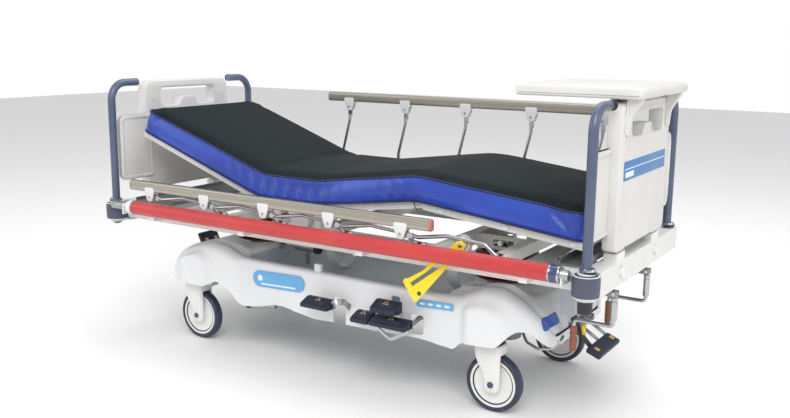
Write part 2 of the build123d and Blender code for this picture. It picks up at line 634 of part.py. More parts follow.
# ---------------------------------------------------------------- side rails
def post_line(angle, joggle, run, side):
    """Post from its lower pivot to its upper pivot, with a joggle to one side of the straight line."""
    ux, uz = cos(radians(angle)), sin(radians(angle))
    vx, vz = uz, -ux
    lean = (RAIL_CENTRE_Y - POST_PIVOT_Y) / POST_REACH

    def place(u, v):
        return (u * ux + v * vx, side * (POST_PIVOT_Y + u * lean), u * uz + v * vz)

    start, stop = run
    stations = [(24, 0), (34, 0), (start, joggle), (stop, joggle), (POST_REACH - 62, 0), (POST_REACH - 36, 0)]
    return [place(u, v) for u, v in stations]


def rail_post(angle, joggle, run, side):
    """Bent steel tube with a flat eye at each end, lower pivot at the origin of X and Z."""
    points = post_line(angle, joggle, run, side)
    tube = bent_bar(points, 18, TUBE_R)
    ends = ((0.0, POST_PIVOT_Y), (POST_REACH, RAIL_CENTRE_Y))
    for u, y in ends:
        toward = 1 if u == 0 else -1
        x, z = u * cos(radians(angle)), u * sin(radians(angle))
        y_span = (side * y - EYE_THICK / 2, side * y + EYE_THICK / 2)
        strap = block(sorted((0, toward * EYE_LENGTH)), y_span, (-EYE_R, EYE_R))
        strap = Pos(x, 0, z) * Rot(0, -angle, 0) * strap
        tube += strap + cross_bar(x, z, *y_span, EYE_R)
    for u, y in ends:
        x, z = u * cos(radians(angle)), u * sin(radians(angle))
        tube -= cross_bar(x, z, side * y - 20, side * y + 20, EYE_PIN_R + RUNNING)
    return tube


def top_rail(side):
    """Extruded handrail with end caps and one forked clamp for each post, first clamp pin at x = z = 0."""
    thick, tall = RAIL_SECTION
    y = side * RAIL_CENTRE_Y
    end = (RAIL_LENGTH - POST_PITCH * (POST_COUNT - 1)) / 2
    x0, x1 = -end, RAIL_LENGTH - end
    under, over = RAIL_ABOVE_PIVOT - tall / 2, RAIL_ABOVE_PIVOT + tall / 2
    across = (y - thick / 2, y + thick / 2)
    bar = block((x0 + 4, x1 - 4), across, (under, over))
    bar = fillet(bar.edges().filter_by(Axis.X), 6)
    bar -= block((x0, x1), (y - 8, y + 8), (under + 6.5, over - 6.5))
    caps = [block((a, a + 4), across, (under, over)) for a in (x0, x1 - 4)]
    clamps = []
    for i in range(POST_COUNT):
        x = POST_PITCH * i
        clamp = plate_xz([(x - 25, under), (x + 25, under), (x + 12, -20), (x - 12, -20)], y - 9, y + 9)
        clamp -= block((x - 30, x + 30), (y - CLAMP_GAP / 2, y + CLAMP_GAP / 2), (-30, EYE_R + 2))
        clamp += cross_bar(x, 0, y - 9, y + 9, EYE_PIN_R)
        clamps.append(clamp)
    return [bar] + caps + clamps


def rail_base(side):
    """Row of forked feet on the side beam, with the fixed pins of the five posts."""
    feet = []
    for i in range(POST_COUNT):
        x = FIRST_POST_X + POST_PITCH * i
        y = side * POST_PIVOT_Y
        web = block((x - 13, x + 13), (y - 8, y + 8), (POST_PIVOT_Z - 30, POST_PIVOT_Z + 4))
        web += cross_bar(x, POST_PIVOT_Z, y - 8, y + 8, 11)
        gap = (y - CLAMP_GAP / 2, y + CLAMP_GAP / 2)
        web -= block((x - 60, x + 60), gap, (POST_PIVOT_Z - 13, POST_PIVOT_Z + 40))
        web += cross_bar(x, POST_PIVOT_Z, y - 8, y + 8, EYE_PIN_R)
        reach = sorted((side * (BEAM_Y[1] - 1), y))
        web += block((x - 13, x + 13), reach, (POST_PIVOT_Z - 40, POST_PIVOT_Z - 28))
        feet.append(web)
    return feet


def side_rails():
    folded = 180.0 - FOLDED_RISE
    shapes = ((NEAR, "near", folded, 26.0, (72, 205)), (FAR, "far", 90.0, -26.0, (66, 175)))
    for side, label, angle, joggle, run in shapes:
        post = rail_post(angle, joggle, run, side)
        for i in range(POST_COUNT):
            x = FIRST_POST_X + POST_PITCH * i
            keep(f"{label}_rail_post_{i + 1}", Pos(x, 0, POST_PIVOT_Z) * post)
        top_x = FIRST_POST_X + POST_REACH * cos(radians(angle))
        top_z = POST_PIVOT_Z + POST_REACH * sin(radians(angle))
        keep(f"{label}_top_rail", *[Pos(top_x, 0, top_z) * s for s in top_rail(side)])


def lever_brackets():
    """Bracket and pin of each release lever, on the outside of the side beam."""
    brackets = []
    for side, drop in ((NEAR, 0.0), (FAR, FAR_LEVER_DROP)):
        x, z = LEVER_PIVOT[0], LEVER_PIVOT[1] - drop
        reach = sorted((side * (BEAM_Y[1] - 1), side * 392))
        bracket = block((x - 14, x + 14), reach, (BEAM_Z[0] + 16, z + 12))
        bracket += cross_bar(x, z, *sorted((side * 386, side * 392)), 20)
        bracket += cross_bar(x, z, *sorted((side * 388, side * 425)), LEVER_PIN_R)
        brackets.append(bracket)
    return brackets


def release_levers():
    """Sheet-metal release lever of each side rail, with a fork-shaped opening."""
    px, pz = LEVER_PIVOT
    outline = [(px - 14, pz + 10), (px + 6, pz + 16), (px + 18, pz + 2), (px + 12, pz - 16),
               (568, 520), (446, 374), (434, 374), (392, 436), (400, 449), (410, 449), (470, 486),
               (500, 520), (540, 548)]
    slot = [(420, 436), (428, 424), (543, 512), (524, 520), (484, 484)]
    for side, label, drop in ((NEAR, "near", 0.0), (FAR, "far", FAR_LEVER_DROP)):
        y = sorted((side * 419.0, side * 423.0))
        plate = plate_xz(outline, *y) - plate_xz(slot, y[0] - 1, y[1] + 1)
        plate -= cross_bar(px, pz, y[0] - 1, y[1] + 1, LEVER_PIN_R + RUNNING)
        plate -= cross_bar(456, 405, y[0] - 1, y[1] + 1, 7)
        keep(f"{label}_release_lever", Pos(0, 0, -drop) * plate)


# ---------------------------------------------------------------- boards and table
def bed_board(sx):
    """Moulded end board: thick middle body with a handle opening, thin side wings, two tongues below."""
    inner, outer = BOARD_INNER_X, BOARD_OUTER_X
    z0, z1 = BOARD_BODY_Z
    body = block((inner + 4, outer), (-BOARD_BODY_Y, BOARD_BODY_Y), (z0, z1))
    body = fillet(body.edges().filter_by(Axis.X).group_by(Axis.Z)[-1], 40)
    hollow_y = BOARD_BODY_Y - 10
    body -= block((inner + 4 + BOARD_SKIN, outer - BOARD_SKIN), (-hollow_y, hollow_y), (z0 + 70, 920))
    wings = block((inner, inner + 24), (-BOARD_WING_Y, BOARD_WING_Y), BOARD_WING_Z)
    wings = fillet(wings.edges().filter_by(Axis.X), 30)
    wings -= block((inner + 4, outer), (-BOARD_BODY_Y + 5, BOARD_BODY_Y - 5), (600, 940))
    board = body + wings
    mid_x = (inner + outer) / 2
    opening = Rot(0, 90, 0) * extrude(RectangleRounded(74, 310, 34), 40, both=True)
    bump = Pos(mid_x + 6, 0, 930) * Rot(0, 90, 0) * Cylinder(45, 46)
    board -= Pos(mid_x, 0, 975) * opening - bump
    for side in (NEAR, FAR):
        y = side * SOCKET_Y
        board += block((mid_x - 12.5, mid_x + 12.5), (y - 26, y + 26), (534, z0 + 4))
    if sx < 0:
        board = mirror(board, Plane.YZ)
    return board


def end_boards():
    keep("head_board", bed_board(-1))
    keep("foot_board", bed_board(1))


def chart_table():
    """Writing shelf that hooks over the top of the foot board, with two gussets outside it."""
    x0, x1 = TABLE_X
    top = block((x0, x1), (-TABLE_HALF_WIDTH, TABLE_HALF_WIDTH), TABLE_Z)
    top = fillet(top.edges().filter_by(Axis.Z), 22)
    hook = block((986, 996), (-190, 190), (1000, TABLE_Z[0]))
    pads = block((1002, 1046), (-150, 150), (BOARD_BODY_Z[1] + 0.3, TABLE_Z[0]))
    brackets = []
    for y in (-210.0, 210.0):
        outline = [(1051, 943), (1062, 943), (1096, TABLE_Z[0]), (1051, TABLE_Z[0])]
        brackets.append(plate_xz(outline, y - 9, y + 9))
    keep("chart_table", top, hook, pads, *brackets)


def board_latches():
    """Turn latches on the outer face of the foot beam, one under each board socket."""
    for side, label in ((NEAR, "near"), (FAR, "far")):
        x, y, z = END_BEAM_X[1], side * SOCKET_Y, 516.0
        knob = rod((x + 0.3, y, z), (x + 8, y, z), 13)
        knob += block((x + 2, x + 12), (y - 5, y + 5), (z - 18, z + 18))
        keep(f"board_latch_{label}", knob)


# ---------------------------------------------------------------- cranks
def cranks():
    """Long screw shafts with folding handles at the foot end: the near one lifts the back section."""
    for label, y, inner_x in zip(("back", "knee"), CRANK_Y, CRANK_ENDS):
        neck = CRANK_X - 22
        shaft = rod((inner_x, y, CRANK_Z), (neck, y, CRANK_Z), 9)
        ears = block((neck - 4, CRANK_X + 9), (y - 15, y + 15), (CRANK_Z - 9, CRANK_Z + 9))
        ears -= block((CRANK_X - 18, CRANK_X + 20), (y - 9, y + 9), (CRANK_Z - 20, CRANK_Z + 20))
        shaft += ears + cross_bar(CRANK_X, CRANK_Z, y - 15, y + 15, 4)
        nut = rod((inner_x + 16, y, CRANK_Z), (inner_x + 56, y, CRANK_Z), 16)
        keep(f"crank_shaft_{label}", shaft + nut)
        drop = CRANK_Z - 108
        arm = block((CRANK_X - 8, CRANK_X + 8), (y - 8, y + 8), (CRANK_Z - 16, CRANK_Z))
        arm += cross_bar(CRANK_X, CRANK_Z, y - 8, y + 8, 8)
        arm += rod((CRANK_X, y, CRANK_Z - 14), (CRANK_X, y, CRANK_Z - 90), 11)
        grip_x = CRANK_X - CRANK_THROW
        points = [(CRANK_X, y, CRANK_Z - 80), (CRANK_X, y, drop), (grip_x, y, drop),
                  (grip_x, y, drop - 40)]
        arm += bent_bar(points, 14, 6.5)
        arm -= cross_bar(CRANK_X, CRANK_Z, y - 20, y + 20, 4 + RUNNING)
        grip = rod((grip_x, y, drop - 22), (grip_x, y, drop - 104), 11.5)
        grip = fillet(grip.edges().filter_by(GeomType.CIRCLE), 3)
        grip -= arm
        keep(f"crank_handle_{label}", arm, grip)


def crank_bearings():
    """Hangers that hold the screw shafts under the bed frame."""
    hangers = []
    for y, xs in ((CRANK_Y[0], (60.0, 1004.0)), (CRANK_Y[1], (800.0, 1004.0))):
        for x in xs:
            top = END_BEAM_Z[0] if x > 1000 else BEAM_Z[1] - 40
            hanger = block((x - 6, x + 6), (y - 16, y + 16), (CRANK_Z - 16, top))
            hanger -= rod((x - 10, y, CRANK_Z), (x + 10, y, CRANK_Z), 9 + RUNNING)
            hangers.append(hanger)
    return hangers


# ---------------------------------------------------------------- assembly
def build():
    castors()
    base_cover()
    base_chassis()
    cylinder_clips()
    keep("head_bellows", bellows(-COLUMN_X))
    keep("foot_bellows", bellows(COLUMN_X))
    column_rams()
    side_pedals()
    brake_pedals()
    bed_frame()
    end_beams()
    push_posts()
    bumper_rollers()
    side_bumpers()
    deck()
    side_rails()
    release_levers()
    end_boards()
    chart_table()
    board_latches()
    cranks()


def write():
    os.makedirs("parts", exist_ok=True)
    for name, solids in NODES.items():
        moved = [Pos(SHIFT_X, 0, 0) * solid for solid in solids]
        shape = moved[0] if len(moved) == 1 else Compound(children=moved)
        shape.label = name
        export_step(shape, f"parts/{name}.step")
    print(f"{len(NODES)} nodes")


build()
write()
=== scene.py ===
import json
from math import ceil, cos, exp, hypot, pi, radians, sin, sqrt, tan

import bmesh
import bpy
from mathutils import Matrix, Vector, noise


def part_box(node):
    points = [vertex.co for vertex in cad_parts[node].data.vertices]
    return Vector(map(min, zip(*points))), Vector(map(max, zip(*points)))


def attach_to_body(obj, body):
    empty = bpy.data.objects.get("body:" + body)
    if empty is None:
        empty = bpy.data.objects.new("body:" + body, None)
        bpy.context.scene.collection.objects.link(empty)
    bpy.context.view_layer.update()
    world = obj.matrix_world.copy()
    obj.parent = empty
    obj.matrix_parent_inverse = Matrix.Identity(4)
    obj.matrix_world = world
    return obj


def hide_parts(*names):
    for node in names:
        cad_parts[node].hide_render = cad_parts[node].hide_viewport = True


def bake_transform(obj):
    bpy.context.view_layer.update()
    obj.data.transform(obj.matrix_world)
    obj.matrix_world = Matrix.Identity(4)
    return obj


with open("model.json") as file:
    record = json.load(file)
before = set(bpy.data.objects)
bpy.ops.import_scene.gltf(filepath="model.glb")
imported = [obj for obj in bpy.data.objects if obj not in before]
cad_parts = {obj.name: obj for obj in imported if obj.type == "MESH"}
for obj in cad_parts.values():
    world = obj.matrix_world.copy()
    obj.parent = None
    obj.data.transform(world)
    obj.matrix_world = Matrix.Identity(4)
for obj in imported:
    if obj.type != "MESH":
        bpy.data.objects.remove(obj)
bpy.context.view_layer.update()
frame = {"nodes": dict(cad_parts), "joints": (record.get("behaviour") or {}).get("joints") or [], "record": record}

# ---------------------------------------------------------------- shared measures
# Lengths are millimetres. X runs towards the foot end from the middle of the bed frame.
MM = 0.001
posts_low, posts_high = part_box("push_posts")
MID_X = (posts_low.x + posts_high.x) / 2 / MM      # the middle of the bed frame in the row frame
JOINTS = {joint["name"]: joint for joint in frame["joints"]}
NEAR, FAR = -1, 1
SIDES = (("near", NEAR), ("far", FAR))


def box_mm(node):
    """Lowest and highest corner of a CAD node in millimetres about the middle of the bed frame."""
    low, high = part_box(node)
    shift = Vector((MID_X, 0, 0))
    return low / MM - shift, high / MM - shift


def pivot_mm(joint):
    return Vector(JOINTS[joint]["pos_m"]) / MM - Vector((MID_X, 0, 0))


# ---------------------------------------------------------------- mesh helpers
def in_metres(point):
    x, y, z = point
    return ((x + MID_X) * MM, y * MM, z * MM)


def clean(mesh):
    """Join doubled points and turn every face outwards."""
    work = bmesh.new()
    work.from_mesh(mesh)
    bmesh.ops.remove_doubles(work, verts=work.verts, dist=2e-6)
    bmesh.ops.dissolve_degenerate(work, edges=work.edges, dist=1e-7)
    bmesh.ops.recalc_face_normals(work, faces=work.faces)
    work.to_mesh(mesh)
    work.free()


def piece(name, points, faces, *materials, picks=None, tidy=True):
    """A smooth mesh object; picks gives the material number of each face."""
    mesh = bpy.data.meshes.new(name)
    mesh.from_pydata([in_metres(p) for p in points], [], faces)
    for material in materials:
        mesh.materials.append(material)
    if picks:
        mesh.polygons.foreach_set("material_index", picks)
    if tidy:
        clean(mesh)
    mesh.shade_smooth()
    made = bpy.data.objects.new(name, mesh)
    bpy.context.scene.collection.objects.link(made)
    return made


def soften(made, width, segments=3, angle=35):
    """Rounded edges with flat faces kept flat."""
    bevel = made.modifiers.new("round_edges", "BEVEL")
    bevel.width, bevel.segments, bevel.limit_method = width * MM, segments, "ANGLE"
    bevel.angle_limit = radians(angle)
    bevel.use_clamp_overlap = True
    flat = made.modifiers.new("flat_faces", "WEIGHTED_NORMAL")
    flat.keep_sharp = True
    return made


def settle(made):
    """Apply every modifier, so that the mesh is final."""
    ready = made.evaluated_get(bpy.context.evaluated_depsgraph_get())
    mesh = bpy.data.meshes.new_from_object(ready)
    mesh.name = made.name
    made.modifiers.clear()
    made.data = mesh
    return made


def carve(made, *cutters):
    """Cut closed meshes out of a piece and remove them."""
    for cutter in cutters:
        cut = made.modifiers.new("carve", "BOOLEAN")
        cut.operation, cut.object, cut.solver = "DIFFERENCE", cutter, "EXACT"
    bpy.context.view_layer.update()
    settle(made)
    for cutter in cutters:
        bpy.data.objects.remove(cutter)
    return made


def bridge(rings, closed_loop=True, ends=True):
    """Faces between equal rings of points, numbered ring after ring."""
    count = len(rings[0])
    faces = []
    for i in range(len(rings) - 1):
        for j in range(count if closed_loop else count - 1):
            k = (j + 1) % count
            faces.append((i * count + j, i * count + k, (i + 1) * count + k, (i + 1) * count + j))
    if ends:
        last = (len(rings) - 1) * count
        faces.append(tuple(range(count))[::-1])
        faces.append(tuple(range(last, last + count)))
    return faces


def loft(name, rings, *materials):
    return piece(name, [p for ring in rings for p in ring], bridge(rings), *materials)


def round_ring(centre, half_u, half_v, u_axis, v_axis, power=2.0, count=32):
    """Points round a rounded rectangle; power 2 is an ellipse and larger powers are squarer."""
    centre, u_axis, v_axis = Vector(centre), Vector(u_axis), Vector(v_axis)
    ring = []
    for i in range(count):
        a = 2 * pi * (i + 0.5) / count
        c, s = cos(a), sin(a)
        u = half_u * abs(c) ** (2 / power) * (1 if c > 0 else -1)
        v = half_v * abs(s) ** (2 / power) * (1 if s > 0 else -1)
        ring.append(centre + u_axis * u + v_axis * v)
    return ring


AXES = {"x": ((0, 1, 0), (0, 0, 1), (1, 0, 0)), "y": ((0, 0, 1), (1, 0, 0), (0, 1, 0)),
        "z": ((1, 0, 0), (0, 1, 0), (0, 0, 1))}


def turned(name, profile, origin, axis, *materials, bands=None, count=48, ring=False):
    """A round piece from (radius, height) pairs along an axis; bands gives a material for each step.

    A ring has a closed profile and no end faces.
    """
    u_axis, v_axis, w_axis = (Vector(a) for a in AXES[axis])
    origin = Vector(origin)
    rings = [round_ring(origin + w_axis * h, r, r, u_axis, v_axis, count=count) for r, h in profile]
    if ring:
        rings.append(rings[0])
    faces = bridge(rings, ends=not ring)
    picks = None
    if bands:
        picks = [bands[i // count] for i in range((len(rings) - 1) * count)] + [bands[0], bands[-1]]
    made = piece(name, [p for ring in rings for p in ring], faces, *materials, picks=picks)
    made.data.set_sharp_from_angle(angle=radians(38))
    return made


def rounded_path(points, radius, steps=6):
    """A line of points with every inner corner turned into an arc."""
    points = [Vector(p) for p in points]
    path = [points[0]]
    for a, b, c in zip(points, points[1:], points[2:]):
        before, after = (a - b).normalized(), (c - b).normalized()
        half = before.angle(after) / 2
        reach = min(radius / tan(half), 0.49 * min((a - b).length, (c - b).length))
        size = reach * tan(half)
        centre = b + (before + after).normalized() * (size / sin(half))
        start, end = b + before * reach - centre, b + after * reach - centre
        sweep = start.angle(end)
        for i in range(steps + 1):
            t = i / steps
            spot = (start * sin((1 - t) * sweep) + end * sin(t * sweep)) / sin(sweep)
            path.append(centre + spot)
    path.append(points[-1])
    return path


def swept(name, path, half_u, half_v, *materials, up=(0, 0, 1), power=2.0, count=20, taper=None):
    """A section carried along a path; taper gives a scale at each share of the path."""
    rings = []
    side = None
    for i, spot in enumerate(path):
        ahead = (path[min(i + 1, len(path) - 1)] - path[max(i - 1, 0)]).normalized()
        if side is None:
            across = Vector(up).cross(ahead)
            side = (across if across.length > 0.01 else Vector((0, 1, 0)).cross(ahead)).normalized()
        side = (side - ahead * side.dot(ahead)).normalized()
        lift = ahead.cross(side)
        scale = taper(i / (len(path) - 1)) if taper else 1.0
        rings.append(round_ring(spot, half_u * scale, half_v * scale, side, lift, power, count))
    return loft(name, rings, *materials)


def pipe(name, points, radius, *materials, bend=20.0, end_round=2.0):
    """A round bar along straight runs with rounded corners and softened ends."""
    path = rounded_path(points, bend)
    first = (path[1] - path[0]).normalized()
    last = (path[-1] - path[-2]).normalized()
    path = [path[0], path[0] + first * end_round] + path[1:-1] + [path[-1] - last * end_round, path[-1]]
    final = len(path) - 1
    shrink = 1 - end_round / radius

    def taper(share):
        return shrink if share in (0.0, 1.0) or round(share * final) in (0, final) else 1.0

    return swept(name, path, radius, radius, *materials, taper=taper)


def outline(points, radius, steps=5):
    """A closed outline with rounded corners; a point may carry its own radius as a third number."""
    count = len(points)
    loop = []
    for i in range(count):
        a, b, c = (Vector((*points[j % count][:2], 0)) for j in (i - 1, i, i + 1))
        own = points[i][2] if len(points[i]) > 2 else radius
        arc = rounded_path([a, b, c], own, steps)[1:-1] if own > 0 else [b]
        loop += [(p.x, p.y) for p in arc]
    return loop


def slab(name, loop, low, high, axis, *materials, holes=(), edge=1.0):
    """A flat plate of any outline, with holes and rounded edges, between two places along an axis."""
    curve = bpy.data.curves.new(name, "CURVE")
    curve.dimensions, curve.fill_mode = "2D", "BOTH"
    curve.extrude = ((high - low) / 2 - edge) * MM
    curve.bevel_depth, curve.offset, curve.bevel_resolution = edge * MM, -edge * MM, 2
    for points in (loop, *holes):
        line = curve.splines.new("POLY")
        line.points.add(len(points) - 1)
        for spot, (u, v) in zip(line.points, points):
            spot.co = (u * MM, v * MM, 0, 1)
        line.use_cyclic_u = True
    holder = bpy.data.objects.new(name, curve)
    bpy.context.scene.collection.objects.link(holder)
    mesh = bpy.data.meshes.new_from_object(holder.evaluated_get(bpy.context.evaluated_depsgraph_get()))
    bpy.data.objects.remove(holder)
    u_axis, v_axis, w_axis = {"x": AXES["x"], "y": ((1, 0, 0), (0, 0, 1), (0, 1, 0)), "z": AXES["z"]}[axis]
    middle = (low + high) / 2
    for vertex in mesh.vertices:
        u, v, w = vertex.co / MM
        spot = Vector(u_axis) * u + Vector(v_axis) * v + Vector(w_axis) * (w + middle)
        vertex.co = in_metres(spot)
    mesh.name = name
    mesh.materials.clear()
    for material in materials:
        mesh.materials.append(material)
    clean(mesh)
    mesh.shade_smooth()
    mesh.set_sharp_from_angle(angle=radians(50))
    made = bpy.data.objects.new(name, mesh)
    bpy.context.scene.collection.objects.link(made)
    return made


def brick(name, low, high, edge, *materials, turn=None):
    """A block with rounded edges; turn is (pivot, angle in degrees, axis)."""
    (x0, y0, z0), (x1, y1, z1) = low, high
    corners = [Vector(p) for p in ((x0, y0, z0), (x1, y0, z0), (x1, y1, z0), (x0, y1, z0),
                                   (x0, y0, z1), (x1, y0, z1), (x1, y1, z1), (x0, y1, z1))]
    if turn:
        centre, angle, axis = turn
        spin = Matrix.Rotation(radians(angle), 3, axis)
        corners = [spin @ (p - Vector(centre)) + Vector(centre) for p in corners]
    faces = [(0, 3, 2, 1), (4, 5, 6, 7), (0, 1, 5, 4), (1, 2, 6, 5), (2, 3, 7, 6), (3, 0, 4, 7)]
    return soften(piece(name, corners, faces, *materials), edge)


def attach(body, slot, *parts):
    """Make pieces ride on a body; slot is not used."""
    for part in parts:
        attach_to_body(part, body)


def smooth_step(t):
    t = min(max(t, 0.0), 1.0)
    return t * t * (3 - 2 * t)


def curve_through(points):
    """A smooth height along X through (x, z) pairs, without overshoot."""
    xs = [p[0] for p in points]
    zs = [p[1] for p in points]
    steps = [(zs[i + 1] - zs[i]) / (xs[i + 1] - xs[i]) for i in range(len(xs) - 1)]
    slopes = [steps[0]]
    for a, b in zip(steps, steps[1:]):
        slopes.append(0.0 if a * b <= 0 else 2 * a * b / (a + b))
    slopes.append(steps[-1])

    def height(x):
        x = min(max(x, xs[0]), xs[-1])
        i = min(max(sum(1 for k in xs[1:-1] if k <= x), 0), len(xs) - 2)
        h = xs[i + 1] - xs[i]
        t = (x - xs[i]) / h
        return ((2 * t ** 3 - 3 * t ** 2 + 1) * zs[i] + (t ** 3 - 2 * t ** 2 + t) * h * slopes[i]
                + (3 * t ** 2 - 2 * t ** 3) * zs[i + 1] + (t ** 3 - t ** 2) * h * slopes[i + 1])

    return height


# ---------------------------------------------------------------- materials
def new_material(name):
    material = bpy.data.materials.new(name)
    material.use_nodes = True
    nodes = material.node_tree.nodes
    return material, nodes, material.node_tree.links, nodes["Principled BSDF"]


def place_coordinates(nodes, links, stretch):
    """Coordinates that stay with the piece, stretched along some axes."""
    spot = nodes.new("ShaderNodeTexCoord")
    scale = nodes.new("ShaderNodeMapping")
    scale.inputs["Scale"].default_value = stretch
    links.new(spot.outputs["Object"], scale.inputs["Vector"])
    return scale.outputs["Vector"]


def speckle(nodes, links, vector, scale, detail=3.0, rough=0.55, distortion=0.0):
    texture = nodes.new("ShaderNodeTexNoise")
    texture.inputs["Scale"].default_value = scale
    texture.inputs["Detail"].default_value = detail
    texture.inputs["Roughness"].default_value = rough
    texture.inputs["Distortion"].default_value = distortion
    links.new(vector, texture.inputs["Vector"])
    return texture.outputs["Fac"]


def between(nodes, links, value, low, high, to_low, to_high):
    fit = nodes.new("ShaderNodeMapRange")
    for name, number in zip(("From Min", "From Max", "To Min", "To Max"), (low, high, to_low, to_high)):
        fit.inputs[name].default_value = number
    links.new(value, fit.inputs["Value"])
    return fit.outputs["Result"]


def mixed(nodes, links, share, first, second, how="MIX"):
    """Mix two colours, each a value or another node's output, by a share between 0 and 1."""
    mix = nodes.new("ShaderNodeMix")
    mix.data_type, mix.blend_type = "RGBA", how
    for socket, value in ((mix.inputs["Factor"], share), (mix.inputs["A"], first), (mix.inputs["B"], second)):
        if isinstance(value, bpy.types.NodeSocket):
            links.new(value, socket)
        elif isinstance(value, tuple):
            socket.default_value = (*value, 1)
        else:
            socket.default_value = value
    return mix.outputs["Result"]


def bumps(nodes, links, shader, layers):
    """Chain bump layers, each (height, strength, depth in millimetres), into the shader's normal."""
    normal = None
    for height, strength, depth in layers:
        bump = nodes.new("ShaderNodeBump")
        bump.inputs["Strength"].default_value = strength
        bump.inputs["Distance"].default_value = depth * MM
        links.new(height, bump.inputs["Height"])
        if normal:
            links.new(normal, bump.inputs["Normal"])
        normal = bump.outputs["Normal"]
    links.new(normal, shader.inputs["Normal"])


def finish(name, colour, shade, roughness, *, metallic=0.0, coat=0.0, coat_rough=0.1, sheen=0.0, grain=700.0,
           depth=0.15, blotch=5.0, stretch=(1, 1, 1), grime=None, wear=None, level=0.5):
    """A worn, finely grained finish: colour drifts to shade, roughness drifts between two values."""
    material, nodes, links, shader = new_material(name)
    vector = place_coordinates(nodes, links, stretch)
    cloud = speckle(nodes, links, vector, blotch, detail=5)
    fine = speckle(nodes, links, vector, grain, detail=2)
    share = between(nodes, links, cloud, 0.3, 0.7, 0.0, 1.0)
    tint = mixed(nodes, links, share, colour, shade)
    if grime:
        dust = speckle(nodes, links, vector, 38, detail=8, rough=0.7)
        tint = mixed(nodes, links, between(nodes, links, dust, 0.58, 0.8, 0.0, 0.35), tint, grime)
    if wear:
        geometry = nodes.new("ShaderNodeNewGeometry")
        edge = between(nodes, links, geometry.outputs["Pointiness"], 0.52, 0.6, 0.0, 0.55)
        tint = mixed(nodes, links, edge, tint, wear)
    links.new(tint, shader.inputs["Base Color"])
    links.new(between(nodes, links, cloud, 0.3, 0.7, *roughness), shader.inputs["Roughness"])
    shader.inputs["Metallic"].default_value = metallic
    shader.inputs["Coat Weight"].default_value = coat
    shader.inputs["Coat Roughness"].default_value = coat_rough
    shader.inputs["Sheen Weight"].default_value = sheen
    shader.inputs["Specular IOR Level"].default_value = level
    bumps(nodes, links, shader, [(fine, 0.35, depth), (cloud, 0.06, depth * 4)])
    return material


def woven(name, colour, shade, roughness, *, threads=900.0, sheen=0.0, coat=0.0, drape=None, level=0.5):
    """Coated cloth: two crossed sets of threads, soft colour drift and optional drawn creases."""
    material, nodes, links, shader = new_material(name)
    vector = place_coordinates(nodes, links, (1, 1, 1))
    cloud = speckle(nodes, links, vector, 7, detail=6, distortion=0.4)
    tint = mixed(nodes, links, between(nodes, links, cloud, 0.3, 0.72, 0, 1), colour, shade)
    threads_in = []
    for direction in ("X", "Y"):
        wave = nodes.new("ShaderNodeTexWave")
        wave.bands_direction = direction
        wave.inputs["Scale"].default_value = threads / 6.2832
        wave.inputs["Distortion"].default_value = 0.6
        links.new(vector, wave.inputs["Vector"])
        threads_in.append(wave.outputs["Fac"])
    weave = nodes.new("ShaderNodeMath")
    weave.operation = "MULTIPLY"
    for output, socket in zip(threads_in, weave.inputs):
        links.new(output, socket)
    layers = [(weave.outputs["Value"], 0.25, 0.12)]
    if drape:
        pulled = place_coordinates(nodes, links, drape)
        crease = speckle(nodes, links, pulled, 9, detail=4, rough=0.5, distortion=0.9)
        layers.append((crease, 0.35, 3.0))
    links.new(tint, shader.inputs["Base Color"])
    links.new(between(nodes, links, cloud, 0.3, 0.7, *roughness), shader.inputs["Roughness"])
    shader.inputs["Sheen Weight"].default_value = sheen
    shader.inputs["Sheen Roughness"].default_value = 0.4
    shader.inputs["Coat Weight"].default_value = coat
    shader.inputs["Coat Roughness"].default_value = 0.25
    shader.inputs["Specular IOR Level"].default_value = level
    bumps(nodes, links, shader, layers)
    return material


WHITE_PLASTIC = finish("white_plastic", (0.75, 0.765, 0.775), (0.69, 0.71, 0.725), (0.34, 0.46), grain=1100,
                       depth=0.08, grime=(0.6, 0.59, 0.55), coat=0.08)
BOARD_PLASTIC = finish("board_plastic", (0.7, 0.69, 0.665), (0.64, 0.63, 0.605), (0.4, 0.52), grain=900,
                       depth=0.1, grime=(0.62, 0.6, 0.56))
FORK_PLASTIC = finish("fork_plastic", (0.8, 0.8, 0.78), (0.73, 0.73, 0.71), (0.36, 0.5), grain=1000,
                      depth=0.08, grime=(0.55, 0.53, 0.5))
# Darker grey-blue for the faces inside the tray recess.
TRAY_GREY_BLUE = finish("tray_grey_blue", (0.47, 0.53, 0.57), (0.4, 0.46, 0.5), (0.4, 0.55), grain=900, depth=0.1,
                      grime=(0.2, 0.22, 0.24))
FRAME_PAINT = finish("frame_paint", (0.8, 0.8, 0.77), (0.74, 0.74, 0.71), (0.38, 0.5), grain=1500, depth=0.06,
                     wear=(0.62, 0.62, 0.6))
DARK_STEEL = finish("dark_steel", (0.2, 0.215, 0.22), (0.15, 0.165, 0.17), (0.4, 0.6), metallic=0.6,
                    grain=1200, depth=0.06, wear=(0.45, 0.46, 0.47))
ZINC = finish("zinc_steel", (0.46, 0.475, 0.48), (0.37, 0.385, 0.39), (0.28, 0.42), metallic=1.0, grain=600,
              depth=0.05, blotch=30)
CHROME = finish("chrome", (0.5, 0.51, 0.53), (0.42, 0.43, 0.45), (0.08, 0.18), metallic=1.0, grain=400,
                depth=0.01, blotch=25)
BRIGHT_TUBE = finish("bright_tube", (0.5, 0.51, 0.51), (0.42, 0.43, 0.44), (0.16, 0.26), metallic=1.0,
                     grain=900, depth=0.02, stretch=(0.15, 1, 1))
POST_PAINT = finish("post_paint", (0.1, 0.125, 0.2), (0.075, 0.095, 0.155), (0.3, 0.42), metallic=0.25,
                    grain=1300, depth=0.06, coat=0.25, coat_rough=0.3, wear=(0.22, 0.25, 0.32))
ROLLER_RUBBER = finish("roller_rubber", (0.08, 0.09, 0.135), (0.055, 0.063, 0.1), (0.45, 0.62), grain=800,
                       depth=0.12)
